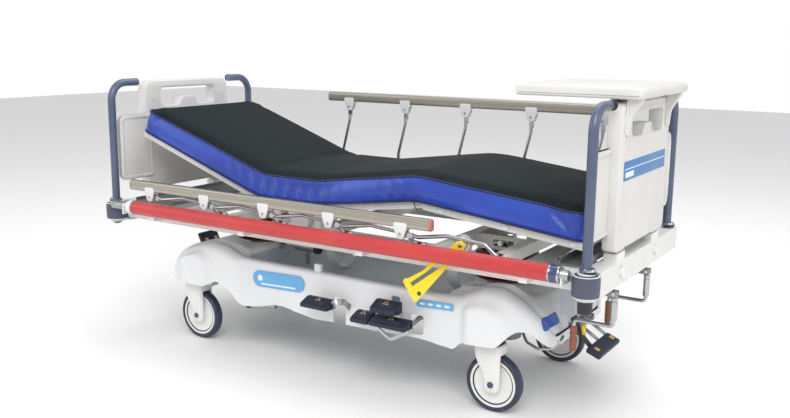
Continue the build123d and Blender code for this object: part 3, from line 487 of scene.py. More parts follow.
BLACK_RUBBER = finish("black_rubber", (0.022, 0.023, 0.027), (0.012, 0.012, 0.015), (0.45, 0.65), grain=700,
                      depth=0.12)
TYRE_RUBBER = finish("tyre_rubber", (0.035, 0.042, 0.085), (0.02, 0.025, 0.05), (0.4, 0.6), grain=800,
                     depth=0.12, grime=(0.12, 0.12, 0.13))
RED_VINYL = finish("red_vinyl", (0.56, 0.042, 0.042), (0.46, 0.028, 0.03), (0.34, 0.48), grain=500,
                   depth=0.12, blotch=7, stretch=(0.5, 1, 1), grime=(0.72, 0.22, 0.2), sheen=0.1)
BELLOWS_RUBBER = finish("bellows_rubber", (0.14, 0.008, 0.014), (0.085, 0.005, 0.01), (0.28, 0.45), grain=500,
                        depth=0.12)
CHAMPAGNE = finish("champagne", (0.46, 0.43, 0.37), (0.4, 0.375, 0.32), (0.26, 0.38), metallic=0.85,
                   grain=900, depth=0.05, stretch=(0.04, 1, 1), blotch=18)
PEDAL_PLASTIC = finish("pedal_plastic", (0.02, 0.024, 0.045), (0.013, 0.016, 0.032), (0.4, 0.55), grain=700,
                       depth=0.12, wear=(0.06, 0.07, 0.11), level=0.3)
YELLOW_PAINT = finish("yellow_paint", (0.93, 0.72, 0.0), (0.88, 0.64, 0.0), (0.36, 0.48), grain=900,
                      depth=0.05, coat=0.1, coat_rough=0.2, wear=(0.75, 0.62, 0.2), level=0.3)
PINK_CAP = finish("pink_cap", (0.62, 0.27, 0.22), (0.52, 0.2, 0.16), (0.4, 0.55), grain=900, depth=0.08)
GRIP_BROWN = finish("grip_brown", (0.36, 0.13, 0.065), (0.26, 0.09, 0.045), (0.35, 0.5), grain=500, depth=0.1,
                    grime=(0.14, 0.07, 0.05))
COLLAR_BLUE = finish("collar_blue", (0.12, 0.12, 0.24), (0.07, 0.075, 0.16), (0.2, 0.34), metallic=0.7,
                     grain=700, depth=0.04)
GREY_DISC = finish("grey_disc", (0.42, 0.46, 0.47), (0.34, 0.38, 0.4), (0.35, 0.5), grain=900, depth=0.08)
GOLD_MARK = finish("gold_mark", (0.75, 0.52, 0.2), (0.62, 0.42, 0.16), (0.35, 0.5), grain=700, depth=0.05)
LIGHT_LABEL = finish("light_label", (0.14, 0.42, 0.72), (0.11, 0.37, 0.67), (0.3, 0.4), grain=1200,
                     depth=0.03, coat=0.15, coat_rough=0.25)
DEEP_LABEL = finish("deep_label", (0.03, 0.12, 0.5), (0.02, 0.09, 0.42), (0.3, 0.4), grain=1200, depth=0.03,
                    coat=0.15, coat_rough=0.25)
STRIP_LABEL = finish("strip_label", (0.04, 0.2, 0.5), (0.03, 0.17, 0.44), (0.3, 0.4), grain=1200, depth=0.03,
                     coat=0.15, coat_rough=0.25)
PALE_LABEL = finish("pale_label", (0.82, 0.86, 0.88), (0.75, 0.8, 0.83), (0.35, 0.45), grain=1200, depth=0.03)
# Dark trim for real dark parts, also used as painted shade in gaps and grooves.
DARK_TRIM_AND_GAP_SHADE = finish("dark_trim_and_gap_shade", (0.06, 0.06, 0.065), (0.035, 0.035, 0.04), (0.5, 0.7), grain=700, depth=0.08)
TOP_CLOTH = woven("mattress_top_cloth", (0.006, 0.011, 0.013), (0.012, 0.019, 0.022), (0.6, 0.75),
                  sheen=0.012, drape=(1.6, 0.35, 1), level=0.1)
SIDE_CLOTH = woven("mattress_side_cloth", (0.018, 0.065, 0.44), (0.01, 0.035, 0.3), (0.26, 0.38), sheen=0.06,
                   coat=0.2, drape=(2.2, 1, 0.5))
PIPING = woven("mattress_piping", (0.01, 0.02, 0.12), (0.006, 0.012, 0.07), (0.35, 0.5), threads=1500)
LINER = woven("mattress_liner", (0.32, 0.3, 0.42), (0.26, 0.25, 0.36), (0.5, 0.65))

SLOT_MATERIALS = {
    "cover": WHITE_PLASTIC, "castor_shroud": FORK_PLASTIC, "tyre": TYRE_RUBBER, "steel": DARK_STEEL,
    "frame_paint": FRAME_PAINT, "chrome": CHROME, "bellows": BELLOWS_RUBBER, "pedal": PEDAL_PLASTIC,
    "post_paint": POST_PAINT, "bumper_rubber": ROLLER_RUBBER, "red_tube": RED_VINYL, "champagne": CHAMPAGNE,
    "post_tube": BRIGHT_TUBE, "lever": YELLOW_PAINT, "mattress": TOP_CLOTH, "board": BOARD_PLASTIC,
    "dark_cover": DARK_STEEL, "clip": WHITE_PLASTIC,
}


EDGE_ROUNDS = {
    "bed_frame": 1.6, "end_beams": 2.5, "base_chassis": 1.2, "foot_frame_cover": 1.2, "bumper_carriers": 1.0,
    "back_section_frame": 1.8, "thigh_section_frame": 1.8, "leg_section_frame": 1.8, "board_latch_near": 1.2,
    "board_latch_far": 1.2, "cylinder_clips": 1.5, "near_release_lever": 0.9, "far_release_lever": 0.9,
    "head_column_ram": 1.0, "foot_tilt_ram": 1.0, "crank_shaft_back": 1.0, "crank_shaft_knee": 1.0,
}


def round_cad_edges(node, width):
    """Join the split points of a CAD mesh, merge its flat triangles and round its sharp edges."""
    joined = node.modifiers.new("joined", "WELD")
    joined.merge_threshold = 0.005 * MM
    flat = node.modifiers.new("flat", "DECIMATE")
    flat.decimate_type, flat.angle_limit = "DISSOLVE", radians(0.3)
    edge = node.modifiers.new("edge", "BEVEL")
    edge.width, edge.segments, edge.limit_method = width * MM, 2, "ANGLE"
    edge.angle_limit = radians(40)
    edge.use_clamp_overlap = True
    smooth = node.modifiers.new("smooth", "WEIGHTED_NORMAL")
    smooth.keep_sharp = False


def paint_cad_nodes():
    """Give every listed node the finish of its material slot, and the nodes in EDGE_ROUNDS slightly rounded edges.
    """
    for part in frame["record"]["subparts"]:
        node = frame["nodes"][part["node"]]
        node.data.materials.clear()
        node.data.materials.append(SLOT_MATERIALS[part["material_slot"]])
        if part["node"] in EDGE_ROUNDS:
            round_cad_edges(node, EDGE_ROUNDS[part["node"]])


paint_cad_nodes()


# ---------------------------------------------------------------- castors
WHEEL_R = 100.0
TYRE_HALF = 19.0


def castor_wheel(place, centre):
    """Round tyre, white rim ring and a dished cover on both sides."""
    tyre = [(82, -15), (86, -18), (94, -TYRE_HALF), (98.5, -15), (WHEEL_R, -8), (WHEEL_R, 0), (WHEEL_R, 8),
            (98.5, 15), (94, TYRE_HALF), (86, 18), (82, 15)]
    tread = turned(f"tyre_{place}", tyre, centre, "y", TYRE_RUBBER, count=72, ring=True)
    disc = [(8, -17), (13, -17), (16, -14), (30, -11), (52, -10), (68, -12.5), (70.5, -13.5), (71.5, -11.5),
            (74, -11.5), (75, -16), (83, -17), (84.5, -15)]
    rows = disc + [(r, -h) for r, h in reversed(disc)]
    # The groove between the white ring and the cover disc is painted dark as shade in the gap.
    bands = [0] * (len(rows) - 1)
    for i in (6, 7, 8, len(rows) - 10, len(rows) - 9, len(rows) - 8):
        bands[i] = 1
    rim = turned(f"wheel_disc_{place}", rows, centre, "y", FORK_PLASTIC, DARK_TRIM_AND_GAP_SHADE, bands=bands, count=72)
    attach(f"wheel_{place}", "tyre", tread)
    attach(f"wheel_{place}", "castor_shroud", rim)
    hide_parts(f"castor_wheel_{place}")


def castor_fork(place, stem, axle):
    """Smooth shroud over the fork: square at the crown, narrowing to a rounded boss at the axle."""
    levels = [(237, 0.90), (235, 0.97), (230, 1.0), (205, 1.0), (185, 1.0), (160, 1.0), (140, 1.0),
              (120, 1.0), (100, 1.0), (86, 0.96), (74, 0.8), (68, 0.55), (66, 0.25)]
    rings = []
    for z, scale in levels:
        drop = smooth_step((205 - z) / 95)
        back = stem.x - 49 + (axle.x - 31 - (stem.x - 49)) * drop
        front = stem.x + 49 + (axle.x + 31 - (stem.x + 49)) * drop
        half_y = 39 - 5 * smooth_step((200 - z) / 100)
        rings.append(round_ring(((back + front) / 2, stem.y, z), (front - back) / 2 * scale,
                                half_y * (0.5 + 0.5 * scale), (1, 0, 0), (0, 1, 0), power=4.5, count=40))
    shroud = loft(f"castor_shroud_{place}", rings, FORK_PLASTIC)
    gap = TYRE_HALF + 4
    room = [(0.1, -gap), (WHEEL_R + 7, -gap), (WHEEL_R + 7, gap), (0.1, gap)]
    carve(shroud, turned("room", room, axle, "y", DARK_TRIM_AND_GAP_SHADE, count=64))
    soften(shroud, 1.5, 2, 50)
    # Dark ring between the castor cap and the top of the fork shroud: a painted shadow line in the gap.
    collar = turned(f"castor_gap_shadow_{place}", [(30, 236), (47, 236.5), (47, 241), (30, 242)],
                    (stem.x, stem.y, 0), "z", DARK_TRIM_AND_GAP_SHADE)
    cap = [(3, -4.5), (8.5, -4.3), (10.5, -3), (11, 0), (11, 3), (4, 3)]
    for side, sign in SIDES:
        profile = [(r, h if sign < 0 else -h) for r, h in cap]
        spot = (axle.x, stem.y + sign * 34.5, axle.z)
        bolt = turned(f"axle_cap_{place}_{side}", profile, spot, "y", COLLAR_BLUE, count=32)
        attach(f"castor_{place}", "post_paint", bolt)
    pin = turned(f"axle_{place}", [(6, -34), (6, 34)], axle, "y", ZINC, count=24)
    stub = turned(f"castor_stem_{place}", [(13, 232), (14, 234), (14, 292), (12, 296)], (stem.x, stem.y, 0),
                  "z", ZINC, count=32)
    for part in (collar, pin, stub):
        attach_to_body(part, f"castor_{place}")
    attach(f"castor_{place}", "castor_shroud", shroud)
    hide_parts(f"castor_fork_{place}")


def castors():
    for end in ("head", "foot"):
        for side, _ in SIDES:
            place = f"{end}_{side}"
            stem = pivot_mm(f"castor_swivel_{place}")
            axle = pivot_mm(f"wheel_spin_{place}")
            castor_wheel(place, axle)
            castor_fork(place, stem, axle)


castors()


# ---------------------------------------------------------------- base cover
COVER_HALF = 340.0
NOSE_X = 850.0
NOSE_ROUND = 130.0
TRAY_X = (-440.0, 486.0)
TRAY_FLOOR = 318.0
RIM_INNER_Y = 290.0
COVER_TOP = curve_through([(-850, 262), (-815, 300), (-765, 352), (-700, 392), (-640, 412), (-575, 422),
                           (-520, 416), (-470, 398), (-420, 385), (-300, 382), (0, 381), (300, 380),
                           (488, 380), (546, 386), (600, 410), (650, 432), (700, 434), (748, 414),
                           (795, 374), (830, 322), (850, 272)])
COVER_BOTTOM = curve_through([(-850, 240), (-760, 246), (-600, 246), (-560, 262), (-543, 269), (-500, 258),
                              (-454, 232), (-425, 204), (-397, 195), (-330, 203), (-209, 226), (-120, 214),
                              (-28, 204), (20, 207), (226, 210), (401, 217), (500, 208), (539, 205),
                              (562, 225), (591, 240), (700, 246), (716, 256), (745, 288), (775, 305),
                              (800, 303), (826, 274), (850, 236)])
CAP_X = {-1: (-742.0, -560.0), 1: (566.0, 742.0)}      # the caps over the castor stems, along X
CAP_PROUD = 24.0
COLUMN_X = 570.0
COLUMN_HOLE_R = 114.0
PEDAL_WINDOWS = (((42, 98), (150, 304)), ((292, 328), (258, 350)), ((200, 236), (230, 298)),
                 ((372, 424), (230, 298)))             # X and Z of the openings for the side pedals
BRAKE_WINDOWS = (((800, 870), (200, 300)), ((-870, -800), (200, 300)))
SKIRT_CUT_Y = (-372, -300)
BRAKE_CUT_Y = (-84, 84)
CAP_TOP_Z = 366.0


def cover_half_width(x):
    over = max(abs(x) - (NOSE_X - NOSE_ROUND), 0.0)
    return COVER_HALF - NOSE_ROUND + sqrt(max(NOSE_ROUND ** 2 - over ** 2, 0.0))


def cap_bulge(x, z):
    """How far the skirt stands out over a castor."""
    sx = 1 if x > 0 else -1
    start, stop = CAP_X[sx]
    along = smooth_step((x - start) / 34) * smooth_step((stop - x) / 34)
    crest = CAP_TOP_Z + 26 * sin(pi * min(max((x - start) / (stop - start), 0), 1))
    return CAP_PROUD * along * smooth_step((crest - z) / 26)


def tray_share(x):
    """1 inside the tray, 0 over the two raised ends."""
    return smooth_step((x - TRAY_X[0]) / 42) * smooth_step((TRAY_X[1] - x) / 30)


def cover_section(x):
    """Points from the bottom lip up the skirt, over the rim and down to the middle, for one side."""
    top, bottom, wide = COVER_TOP(x), COVER_BOTTOM(x), cover_half_width(x)
    tray = tray_share(x)
    corner = 16 + 26 * (1 - tray)
    corner = min(corner, 0.45 * (top - bottom))
    spread = wide / COVER_HALF
    points = []
    rows = 16
    for i in range(rows + 1):
        z = bottom + (top - corner - bottom) * i / rows
        flare = 7 * (1 - i / rows) ** 2
        points.append((wide - 4 + cap_bulge(x, z) + flare * spread * 0.5, z))
    for i in range(1, 7):
        a = pi / 2 * i / 6
        points.append((wide - 4 - corner * (1 - cos(a)), top - corner * (1 - sin(a))))
    rim_y = (RIM_INNER_Y + 8) * spread
    ridge_y, valley_y = 236 * spread, 272 * spread
    inner_top = min(top, 389.0)
    for i in range(1, 15):
        t = i / 14
        y = points[22][0] + (200 * spread - points[22][0]) * t
        hump = top - 13 * exp(-((y - valley_y) / 16) ** 2) - max(0, (ridge_y - y) / 36) * (top - inner_top)
        hump = max(hump, inner_top) if y < ridge_y else hump
        slope = top - 5 * smooth_step((wide - 30 - y) / 30)
        floor = TRAY_FLOOR + (slope - TRAY_FLOOR) * smooth_step((y - (rim_y - 22)) / 20)
        points.append((y, hump + (floor - hump) * tray))
    for i in range(1, 11):
        y = 200 * spread * (1 - i / 10)
        points.append((y, inner_top + (TRAY_FLOOR - inner_top) * tray))
    return points


def base_cover():
    """Moulded skirted shell with the tray between its raised ends and a cap over each castor."""
    places = [-NOSE_X + 0.5, -848, -844, -836, -824] + [-810 + 10.0 * i for i in range(163)]
    places += [824, 836, 844, 848, NOSE_X - 0.5]
    rings = []
    for x in places:
        half = cover_section(x)
        near = [(x, -y, z) for y, z in half]
        far = [(x, y, z) for y, z in reversed(half[:-1])]
        rings.append(near + far)
    count = len(rings[0])
    faces = bridge(rings, closed_loop=False, ends=False)
    for ring in (0, len(rings) - 1):
        base = ring * count
        for j in range(count // 2):
            faces.append((base + j, base + j + 1, base + count - 2 - j, base + count - 1 - j))
    points = [p for ring in rings for p in ring]
    picks = []
    for face in faces:
        middle = sum((Vector(points[i]) for i in face), Vector()) / len(face)
        # Faces inside the tray recess take the darker grey-blue.
        inside = abs(middle.y) < RIM_INNER_Y and TRAY_X[0] + 4 < middle.x < TRAY_X[1] and middle.z < 366
        picks.append(1 if inside else 0)
    cover = piece("base_cover_shell", points, faces, WHITE_PLASTIC, TRAY_GREY_BLUE, picks=picks)
    if sum(f.normal.z * f.area for f in cover.data.polygons) < 0:
        cover.data.flip_normals()
    shell = cover.modifiers.new("wall", "SOLIDIFY")
    shell.thickness, shell.offset = 4.5 * MM, -1
    shell.use_even_offset = True
    settle(cover)
    hole = [(COLUMN_HOLE_R, 300), (COLUMN_HOLE_R, 470)]
    cutters = [turned("hole", hole, (sx * COLUMN_X, 0, 0), "z", DARK_TRIM_AND_GAP_SHADE) for sx in (-1, 1)]
    windows = [(x, z, SKIRT_CUT_Y) for x, z in PEDAL_WINDOWS]
    windows += [(x, z, BRAKE_CUT_Y) for x, z in BRAKE_WINDOWS]
    for (x0, x1), (z0, z1), (y0, y1) in windows:
        loop = outline([(x0, z0), (x1, z0), (x1, z1), (x0, z1)], 9)
        cutters.append(slab("hole", loop, y0, y1, "y", DARK_TRIM_AND_GAP_SHADE, edge=0.1))
    carve(cover, *cutters)
    cover.data.shade_smooth()
    cover.data.set_sharp_from_angle(angle=radians(48))
    attach("base", "cover", cover)
    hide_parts("base_cover")


base_cover()


# ---------------------------------------------------------------- bellows
def bellows(end):
    """Rubber accordion boot between the base and the lift column, with a flange at the bottom."""
    low, high = box_mm(f"{end}_bellows")
    folds, r_out, r_in = 7, 115.0, 99.0
    rise = high.z - 5 - (low.z + 7)
    profile = [(96, low.z), (112, low.z), (115, low.z + 2), (115, low.z + 5), (111, low.z + 7)]
    for i in range(folds * 8 + 1):
        a = 2 * pi * i / 8
        share = (1 - cos(a)) / 2
        profile.append((r_in + (r_out - r_in) * share ** 0.8, low.z + 7 + rise * i / (folds * 8)))
    profile += [(96, high.z - 3), (96, high.z)]
    inner = [(max(r - 7, 90), z) for r, z in reversed(profile)]
    middle = (low.x + high.x) / 2
    boot = turned(f"{end}_bellows_boot", profile + inner, (middle, 0, 0), "z", BELLOWS_RUBBER, count=72)
    boot.data.set_sharp_from_angle(angle=radians(75))
    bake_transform(boot)
    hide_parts(f"{end}_bellows")


bellows("head")
bellows("foot")


# ---------------------------------------------------------------- mattress
MATTRESS_HALF = 325.0
MATTRESS_THICK = 88.0
MATTRESS_CORNER = 42.0
LATTICE = (182, 54, 8)              # cells along, across and up
BACK_PIVOT = pivot_mm("back_raise")
THIGH_PIVOT = pivot_mm("knee_raise")
KNEE_PIVOT = pivot_mm("leg_fold")
BACK_REACH = 757.0                  # from the back pivot to the head end of the mattress
BACK_ANGLE = radians(19.0)
BEND_R = 300.0
SIM_FRAMES = 22
MOVE_LIMIT = 15.0                   # how far the cloth may carry a point
FOLD_DEPTH = 4.6
PIPING_R = 3.6
DECK_GAP = 15.5                     # from the pivots of the thigh and leg sections up to the mattress


def mattress_line():
    """The underside of the mattress from head to foot, with its corners at the section hinges."""
    leg_low, leg_high = box_mm("mattress_leg")
    seat_z = box_mm("mattress_seat")[0].z
    head = Vector((BACK_PIVOT.x - BACK_REACH * cos(BACK_ANGLE), 0,
                   BACK_PIVOT.z + 2 + BACK_REACH * sin(BACK_ANGLE)))
    valley = Vector((BACK_PIVOT.x - (seat_z - BACK_PIVOT.z) / tan(BACK_ANGLE) + 4, 0, seat_z + 0.5))
    seat = Vector((THIGH_PIVOT.x, 0, seat_z + 0.5))
    knee = Vector((KNEE_PIVOT.x, 0, KNEE_PIVOT.z + DECK_GAP))
    foot = Vector((leg_high.x - 12, 0, leg_low.z + 1.5))
    return [head, valley, seat, knee, foot]


def along_line(path):
    """A function that gives place and upward direction at a distance along a line of points."""
    reach = [0.0]
    for a, b in zip(path, path[1:]):
        reach.append(reach[-1] + (b - a).length)

    def spot(distance):
        i = 0
        while i < len(reach) - 2 and reach[i + 1] < distance:
            i += 1
        t = (distance - reach[i]) / max(reach[i + 1] - reach[i], 1e-6)
        ahead = []
        for k in (i - 1, i, i + 1):
            k = min(max(k, 0), len(path) - 2)
            ahead.append((path[k + 1] - path[k]).normalized())
        heading = (ahead[0] * max(0.5 - t, 0) + ahead[1] * (1 - abs(t - 0.5)) + ahead[2] * max(t - 0.5, 0))
        heading.normalize()
        return path[i].lerp(path[i + 1], t), Vector((-heading.z, 0, heading.x))

    return spot, reach[-1]


def mattress_shapes():
    """The mattress lattice as it lies on the deck, and the same with its valley straightened out."""
    corners = mattress_line()
    spot, length = along_line(rounded_path(corners, BEND_R, 10))
    valley_run = (corners[1] - corners[0]).length
    seat_run = valley_run + (corners[2] - corners[1]).length
    knee_run = seat_run + (corners[3] - corners[2]).length
    relaxed = [Vector((0, 0, 0)), Vector((knee_run, 0, 0))]
    relaxed.append(relaxed[1] + Vector((length - knee_run, 0, -(length - knee_run) * tan(radians(14.3)))))
    loose_spot, _ = along_line(rounded_path(relaxed, BEND_R, 10))
    cells_s, cells_y, cells_h = LATTICE

    def plan(i, j):
        s, y = length * i / cells_s, MATTRESS_HALF * (2 * j / cells_y - 1)
        end = min(s, length - s)
        a, b = 1 - end / MATTRESS_CORNER, 1 - (MATTRESS_HALF - abs(y)) / MATTRESS_CORNER
        if a > 0 and b > 0:
            a, b = a * sqrt(1 - b * b / 2), b * sqrt(1 - a * a / 2)
            end = MATTRESS_CORNER * (1 - a)
            s = end if s < length / 2 else length - end
            y = (MATTRESS_HALF - MATTRESS_CORNER * (1 - b)) * (1 if y > 0 else -1)
        return s, y

    numbers, laid, loose, stations = {}, [], [], []
    for i in range(cells_s + 1):
        for j in range(cells_y + 1):
            for k in range(cells_h + 1):
                if 0 < i < cells_s and 0 < j < cells_y and 0 < k < cells_h:
                    continue
                numbers[i, j, k] = len(laid)
                s, y = plan(i, j)
                share = k / cells_h
                rim = 1 - smooth_step(min(s, length - s, MATTRESS_HALF - abs(y) + 1) / 60)
                height = MATTRESS_THICK * share - 3 * share * rim
                swell = 2.5 * sin(pi * share)
                if j in (0, cells_y):
                    y += swell * (1 if y > 0 else -1)
                base, up = spot(s)
                laid.append(base + up * height + Vector((0, y, 0)))
                base, up = loose_spot(s)
                loose.append(base + up * height + Vector((0, y * 1.004, 0)))
                stations.append(i)
    return numbers, laid, loose, stations


def lattice_faces(numbers):
    """Faces of the box lattice with a material number each: 0 top, 1 side, 2 underside."""
    faces, picks = [], []
    ns, ny, nh = LATTICE

    def add(corners, pick):
        faces.append(tuple(numbers[c] for c in corners))
        picks.append(pick)

    for i in range(ns):
        for j in range(ny):
            add([(i, j, nh), (i + 1, j, nh), (i + 1, j + 1, nh), (i, j + 1, nh)], 0)
            add([(i, j, 0), (i, j + 1, 0), (i + 1, j + 1, 0), (i + 1, j, 0)], 2)
        for k in range(nh):
            add([(i, 0, k), (i + 1, 0, k), (i + 1, 0, k + 1), (i, 0, k + 1)], 1)
            add([(i, ny, k), (i, ny, k + 1), (i + 1, ny, k + 1), (i + 1, ny, k)], 1)
    for j in range(ny):
        for k in range(nh):
            add([(0, j, k), (0, j, k + 1), (0, j + 1, k + 1), (0, j + 1, k)], 1)
            add([(ns, j, k), (ns, j + 1, k), (ns, j + 1, k + 1), (ns, j, k + 1)], 1)
    return faces, picks


def edge_loop(numbers, k):
    """The lattice points round the edge of the mattress at one height, as a closed loop."""
    ns, ny, _ = LATTICE
    rim = [(i, 0) for i in range(ns)] + [(ns, j) for j in range(ny)]
    rim += [(i, ny) for i in range(ns, 0, -1)] + [(0, j) for j in range(ny, 0, -1)]
    return [numbers[i, j, k] for i, j in rim]


def simulate(cushion, laid, loose, held):
    """Let the cover swell and wrinkle over the bends, held along the deck, and cap how far it may move."""
    cushion.shape_key_add(name="laid")
    rest = cushion.shape_key_add(name="relaxed")
    for point, spot in zip(rest.data, loose):
        point.co = in_metres(spot)
    group = cushion.vertex_groups.new(name="held")
    for number, weight in held:
        group.add([number], weight, "REPLACE")
    cloth = cushion.modifiers.new("cloth", "CLOTH")
    rules = cloth.settings
    rules.quality = 6
    rules.mass = 0.25
    rules.tension_stiffness, rules.compression_stiffness = 22, 22
    rules.shear_stiffness, rules.bending_stiffness = 9, 0.6
    rules.vertex_group_mass = "held"
    rules.rest_shape_key = rest
    rules.use_pressure, rules.uniform_pressure_force = True, 4.0
    rules.effector_weights.gravity = 0
    cloth.collision_settings.use_collision = False
    scene = bpy.context.scene
    for number in range(1, SIM_FRAMES + 1):
        scene.frame_set(number)
    ready = cushion.evaluated_get(bpy.context.evaluated_depsgraph_get())
    moved = []
    for vertex, start in zip(ready.data.vertices, laid):
        step = vertex.co / MM - Vector((MID_X, 0, 0)) - start
        if step.length > MOVE_LIMIT:
            step = step.normalized() * (MOVE_LIMIT + (step.length - MOVE_LIMIT) * 0.1)
        moved.append(start + step)
    cushion.modifiers.clear()
    cushion.shape_key_clear()
    scene.frame_set(1)
    return moved


def drawn_folds(laid, numbers):
    """Folds that a hand would add: slanting creases on the sides, deepest by the bends."""
    _, ny, nh = LATTICE
    moved = [p.copy() for p in laid]
    for (_, j, k), number in numbers.items():
        x = laid[number].x
        near_bend = exp(-((x + 190) / 210) ** 2) + 0.75 * exp(-((x - 330) / 90) ** 2)
        along = x * 0.11 + k * 0.55 + 1.3 * noise.noise(Vector((x * 0.006, j, k * 0.3)))
        fold = near_bend * FOLD_DEPTH * sin(along) * sin(pi * min(k + 0.7, nh) / (nh + 1))
        if j in (0, ny):
            moved[number].y += fold * (1 if j else -1)
    return moved


def tube_along(points, radius, closed, count=8):
    """Points and faces of a thin tube along a line of points."""
    total = len(points)
    rings = []
    for n, spot in enumerate(points):
        after = points[(n + 1) % total] if closed or n + 1 < total else spot
        before = points[n - 1] if closed or n else spot
        ahead = (after - before).normalized()
        side = ahead.cross(Vector((0, 0, 1))).normalized()
        rings.append(round_ring(spot, radius, radius, side, side.cross(ahead), count=count))
    verts = [p for ring in rings for p in ring]
    faces = bridge(rings, ends=not closed)
    if closed:
        last = (total - 1) * count
        faces += [(last + j, last + (j + 1) % count, (j + 1) % count, j) for j in range(count)]
    return verts, faces


def cut_rim(cut):
    """Lattice places round a cut across the mattress."""
    _, ny, nh = LATTICE
    rim = [(cut, j, 0) for j in range(ny)] + [(cut, ny, k) for k in range(nh)]
    return rim + [(cut, j, nh) for j in range(ny, 0, -1)] + [(cut, 0, k) for k in range(nh, 0, -1)]


def mattress():
    """One mattress, simulated whole and then cut into the back, thigh and leg pads."""
    numbers, laid, loose, stations = mattress_shapes()
    faces, picks = lattice_faces(numbers)
    ns, ny, nh = LATTICE
    cushion = piece("mattress_whole", laid, faces, TOP_CLOTH, SIDE_CLOTH, LINER, picks=picks, tidy=False)
    held = [(n, 1.0) for (i, j, k), n in numbers.items() if k == 0]
    held += [(n, 0.25) for (i, j, k), n in numbers.items() if k == nh and (j in (0, ny) or i in (0, ns))]
    moved = simulate(cushion, laid, loose, held)
    moved = drawn_folds(moved, numbers)
    bpy.data.objects.remove(cushion)
    seams = [edge_loop(numbers, nh), edge_loop(numbers, 0)]

    def nearest_station(x):
        return min(range(ns), key=lambda i: abs(moved[numbers[i, 0, 0]].x - x))

    cut_seat = nearest_station((BACK_PIVOT.x + THIGH_PIVOT.x) / 2 + 20)
    cut_thigh = nearest_station((THIGH_PIVOT.x + KNEE_PIVOT.x) / 2)
    whole = piece("mattress_whole", moved, faces, TOP_CLOTH, SIDE_CLOTH, LINER, PIPING, picks=picks,
                  tidy=False)
    normals = [v.normal.copy() for v in whole.data.vertices]
    bpy.data.objects.remove(whole)
    back_nodes = ("mattress_back", "mattress_seat")
    bands = (("back", 0, cut_seat, "back_section", "frame", BACK_PIVOT, (-75, 40), back_nodes),
             ("thigh", cut_seat, cut_thigh, "frame", "thigh_section", THIGH_PIVOT, (-45, 70),
              ("mattress_thigh",)),
             ("leg", cut_thigh, ns, "thigh_section", "leg_section", KNEE_PIVOT, (-70, 70), ("mattress_leg",)))
    for label, first, last, body_a, body_b, hinge, reach, nodes in bands:
        chosen = [f for f in range(len(faces)) if first <= min(stations[v] for v in faces[f])
                  and max(stations[v] for v in faces[f]) <= last]
        used = sorted({v for f in chosen for v in faces[f]})
        renumber = {v: n for n, v in enumerate(used)}
        points = [moved[v] for v in used]
        directions = [normals[v] for v in used]
        own_faces = [tuple(renumber[v] for v in faces[f]) for f in chosen]
        own_picks = [picks[f] for f in chosen]
        for cut in (first, last):
            if cut in (0, ns):
                continue
            own_faces.append(tuple(renumber[numbers[c]] for c in cut_rim(cut)))
            own_picks.append(2)
        for loop in seams:
            for closed, run in seam_runs(loop, stations, first, last):
                verts, tube = tube_along([moved[v] for v in run], PIPING_R, closed)
                start = len(points)
                points += verts
                directions += [None] * len(verts)
                own_faces += [tuple(v + start for v in f) for f in tube]
                own_picks += [3] * len(tube)
        pad = piece(f"mattress_{label}_pad", points, own_faces, TOP_CLOTH, SIDE_CLOTH, LINER, PIPING,
                    picks=own_picks, tidy=False)
        own = [v.normal.copy() if d is None else d for v, d in zip(pad.data.vertices, directions)]
        pad.data.normals_split_custom_set_from_vertices(own)
        start = in_metres((hinge.x + reach[0], 0, hinge.z + 40))
        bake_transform(pad)
        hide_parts(*nodes)


def seam_runs(loop, stations, first, last):
    """The stretches of a closed seam that lie between two stations, each with whether it closes on itself."""
    inside = [first <= stations[v] <= last for v in loop]
    if all(inside):
        return [(True, loop)]
    start = next(n for n in range(len(loop)) if not inside[n - 1] and inside[n])
    turned_loop = loop[start:] + loop[:start]
    runs, run = [], []
    for v in turned_loop:
        if first <= stations[v] <= last:
            run.append(v)
        elif run:
            runs.append((False, run))
            run = []
    if run:
        runs.append((False, run))
    return [r for r in runs if len(r[1]) > 2]


mattress()


# ---------------------------------------------------------------- small shared pieces
def plain_block(name, low, high, *materials):
    """A block with sharp edges, for cutting."""
    (x0, y0, z0), (x1, y1, z1) = low, high
    loop = [(x0, y0), (x1, y0), (x1, y1), (x0, y1)]
    rings = [[Vector((x, y, z)) for x, y in loop] for z in (z0, z1)]
    return loft(name, rings, *materials)


def dome_head(name, spot, axis, sign, radius, *materials):
    """A low round bolt or rivet head standing on a face."""
    rows = [(radius * 0.3, 3.2), (radius * 0.75, 2.6), (radius, 0.9), (radius, -1.0), (radius * 0.5, -1.2)]
    return turned(name, [(r, h * sign) for r, h in rows], spot, axis, *materials, count=24)


# ---------------------------------------------------------------- side rails
RAIL_HALF_Y = 12.5
RAIL_HALF_Z = 19.5
RAIL_RISE = 40.0                    # from the upper post pivots up to the middle of the handrail
RAIL_LONG = 1408.0
POST_COUNT = 5
POST_PITCH = 294.45
RAIL_OVERHANG = (RAIL_LONG - POST_PITCH * (POST_COUNT - 1)) / 2
LEVER_LOW_Z = 374.0                 # lowest point of the near lever
POST_Y = 410.0
POST_HANDLE_Z = 1041.0
POST_HANDLE_END_Y = 276.0
BUMPER_Y = 455.0
BUMPER_Z = 553.0
POST_FEET = [pivot_mm("near_rail_fold").x + POST_PITCH * i for i in range(POST_COUNT)]


def rail_section(y, z):
    """Handrail outline with a shallow groove along both faces."""
    a, b, deep = RAIL_HALF_Y, RAIL_HALF_Z, RAIL_HALF_Y - 1.3
    right = [(a, -b, 6), (a, -3.2, 0), (deep, -2.2, 0), (deep, 2.2, 0), (a, 3.2, 0), (a, b, 6)]
    left = [(-u, v, r) for u, v, r in reversed(right)]
    return outline([(y + u, z + v, r) for u, v, r in right + left], 0)


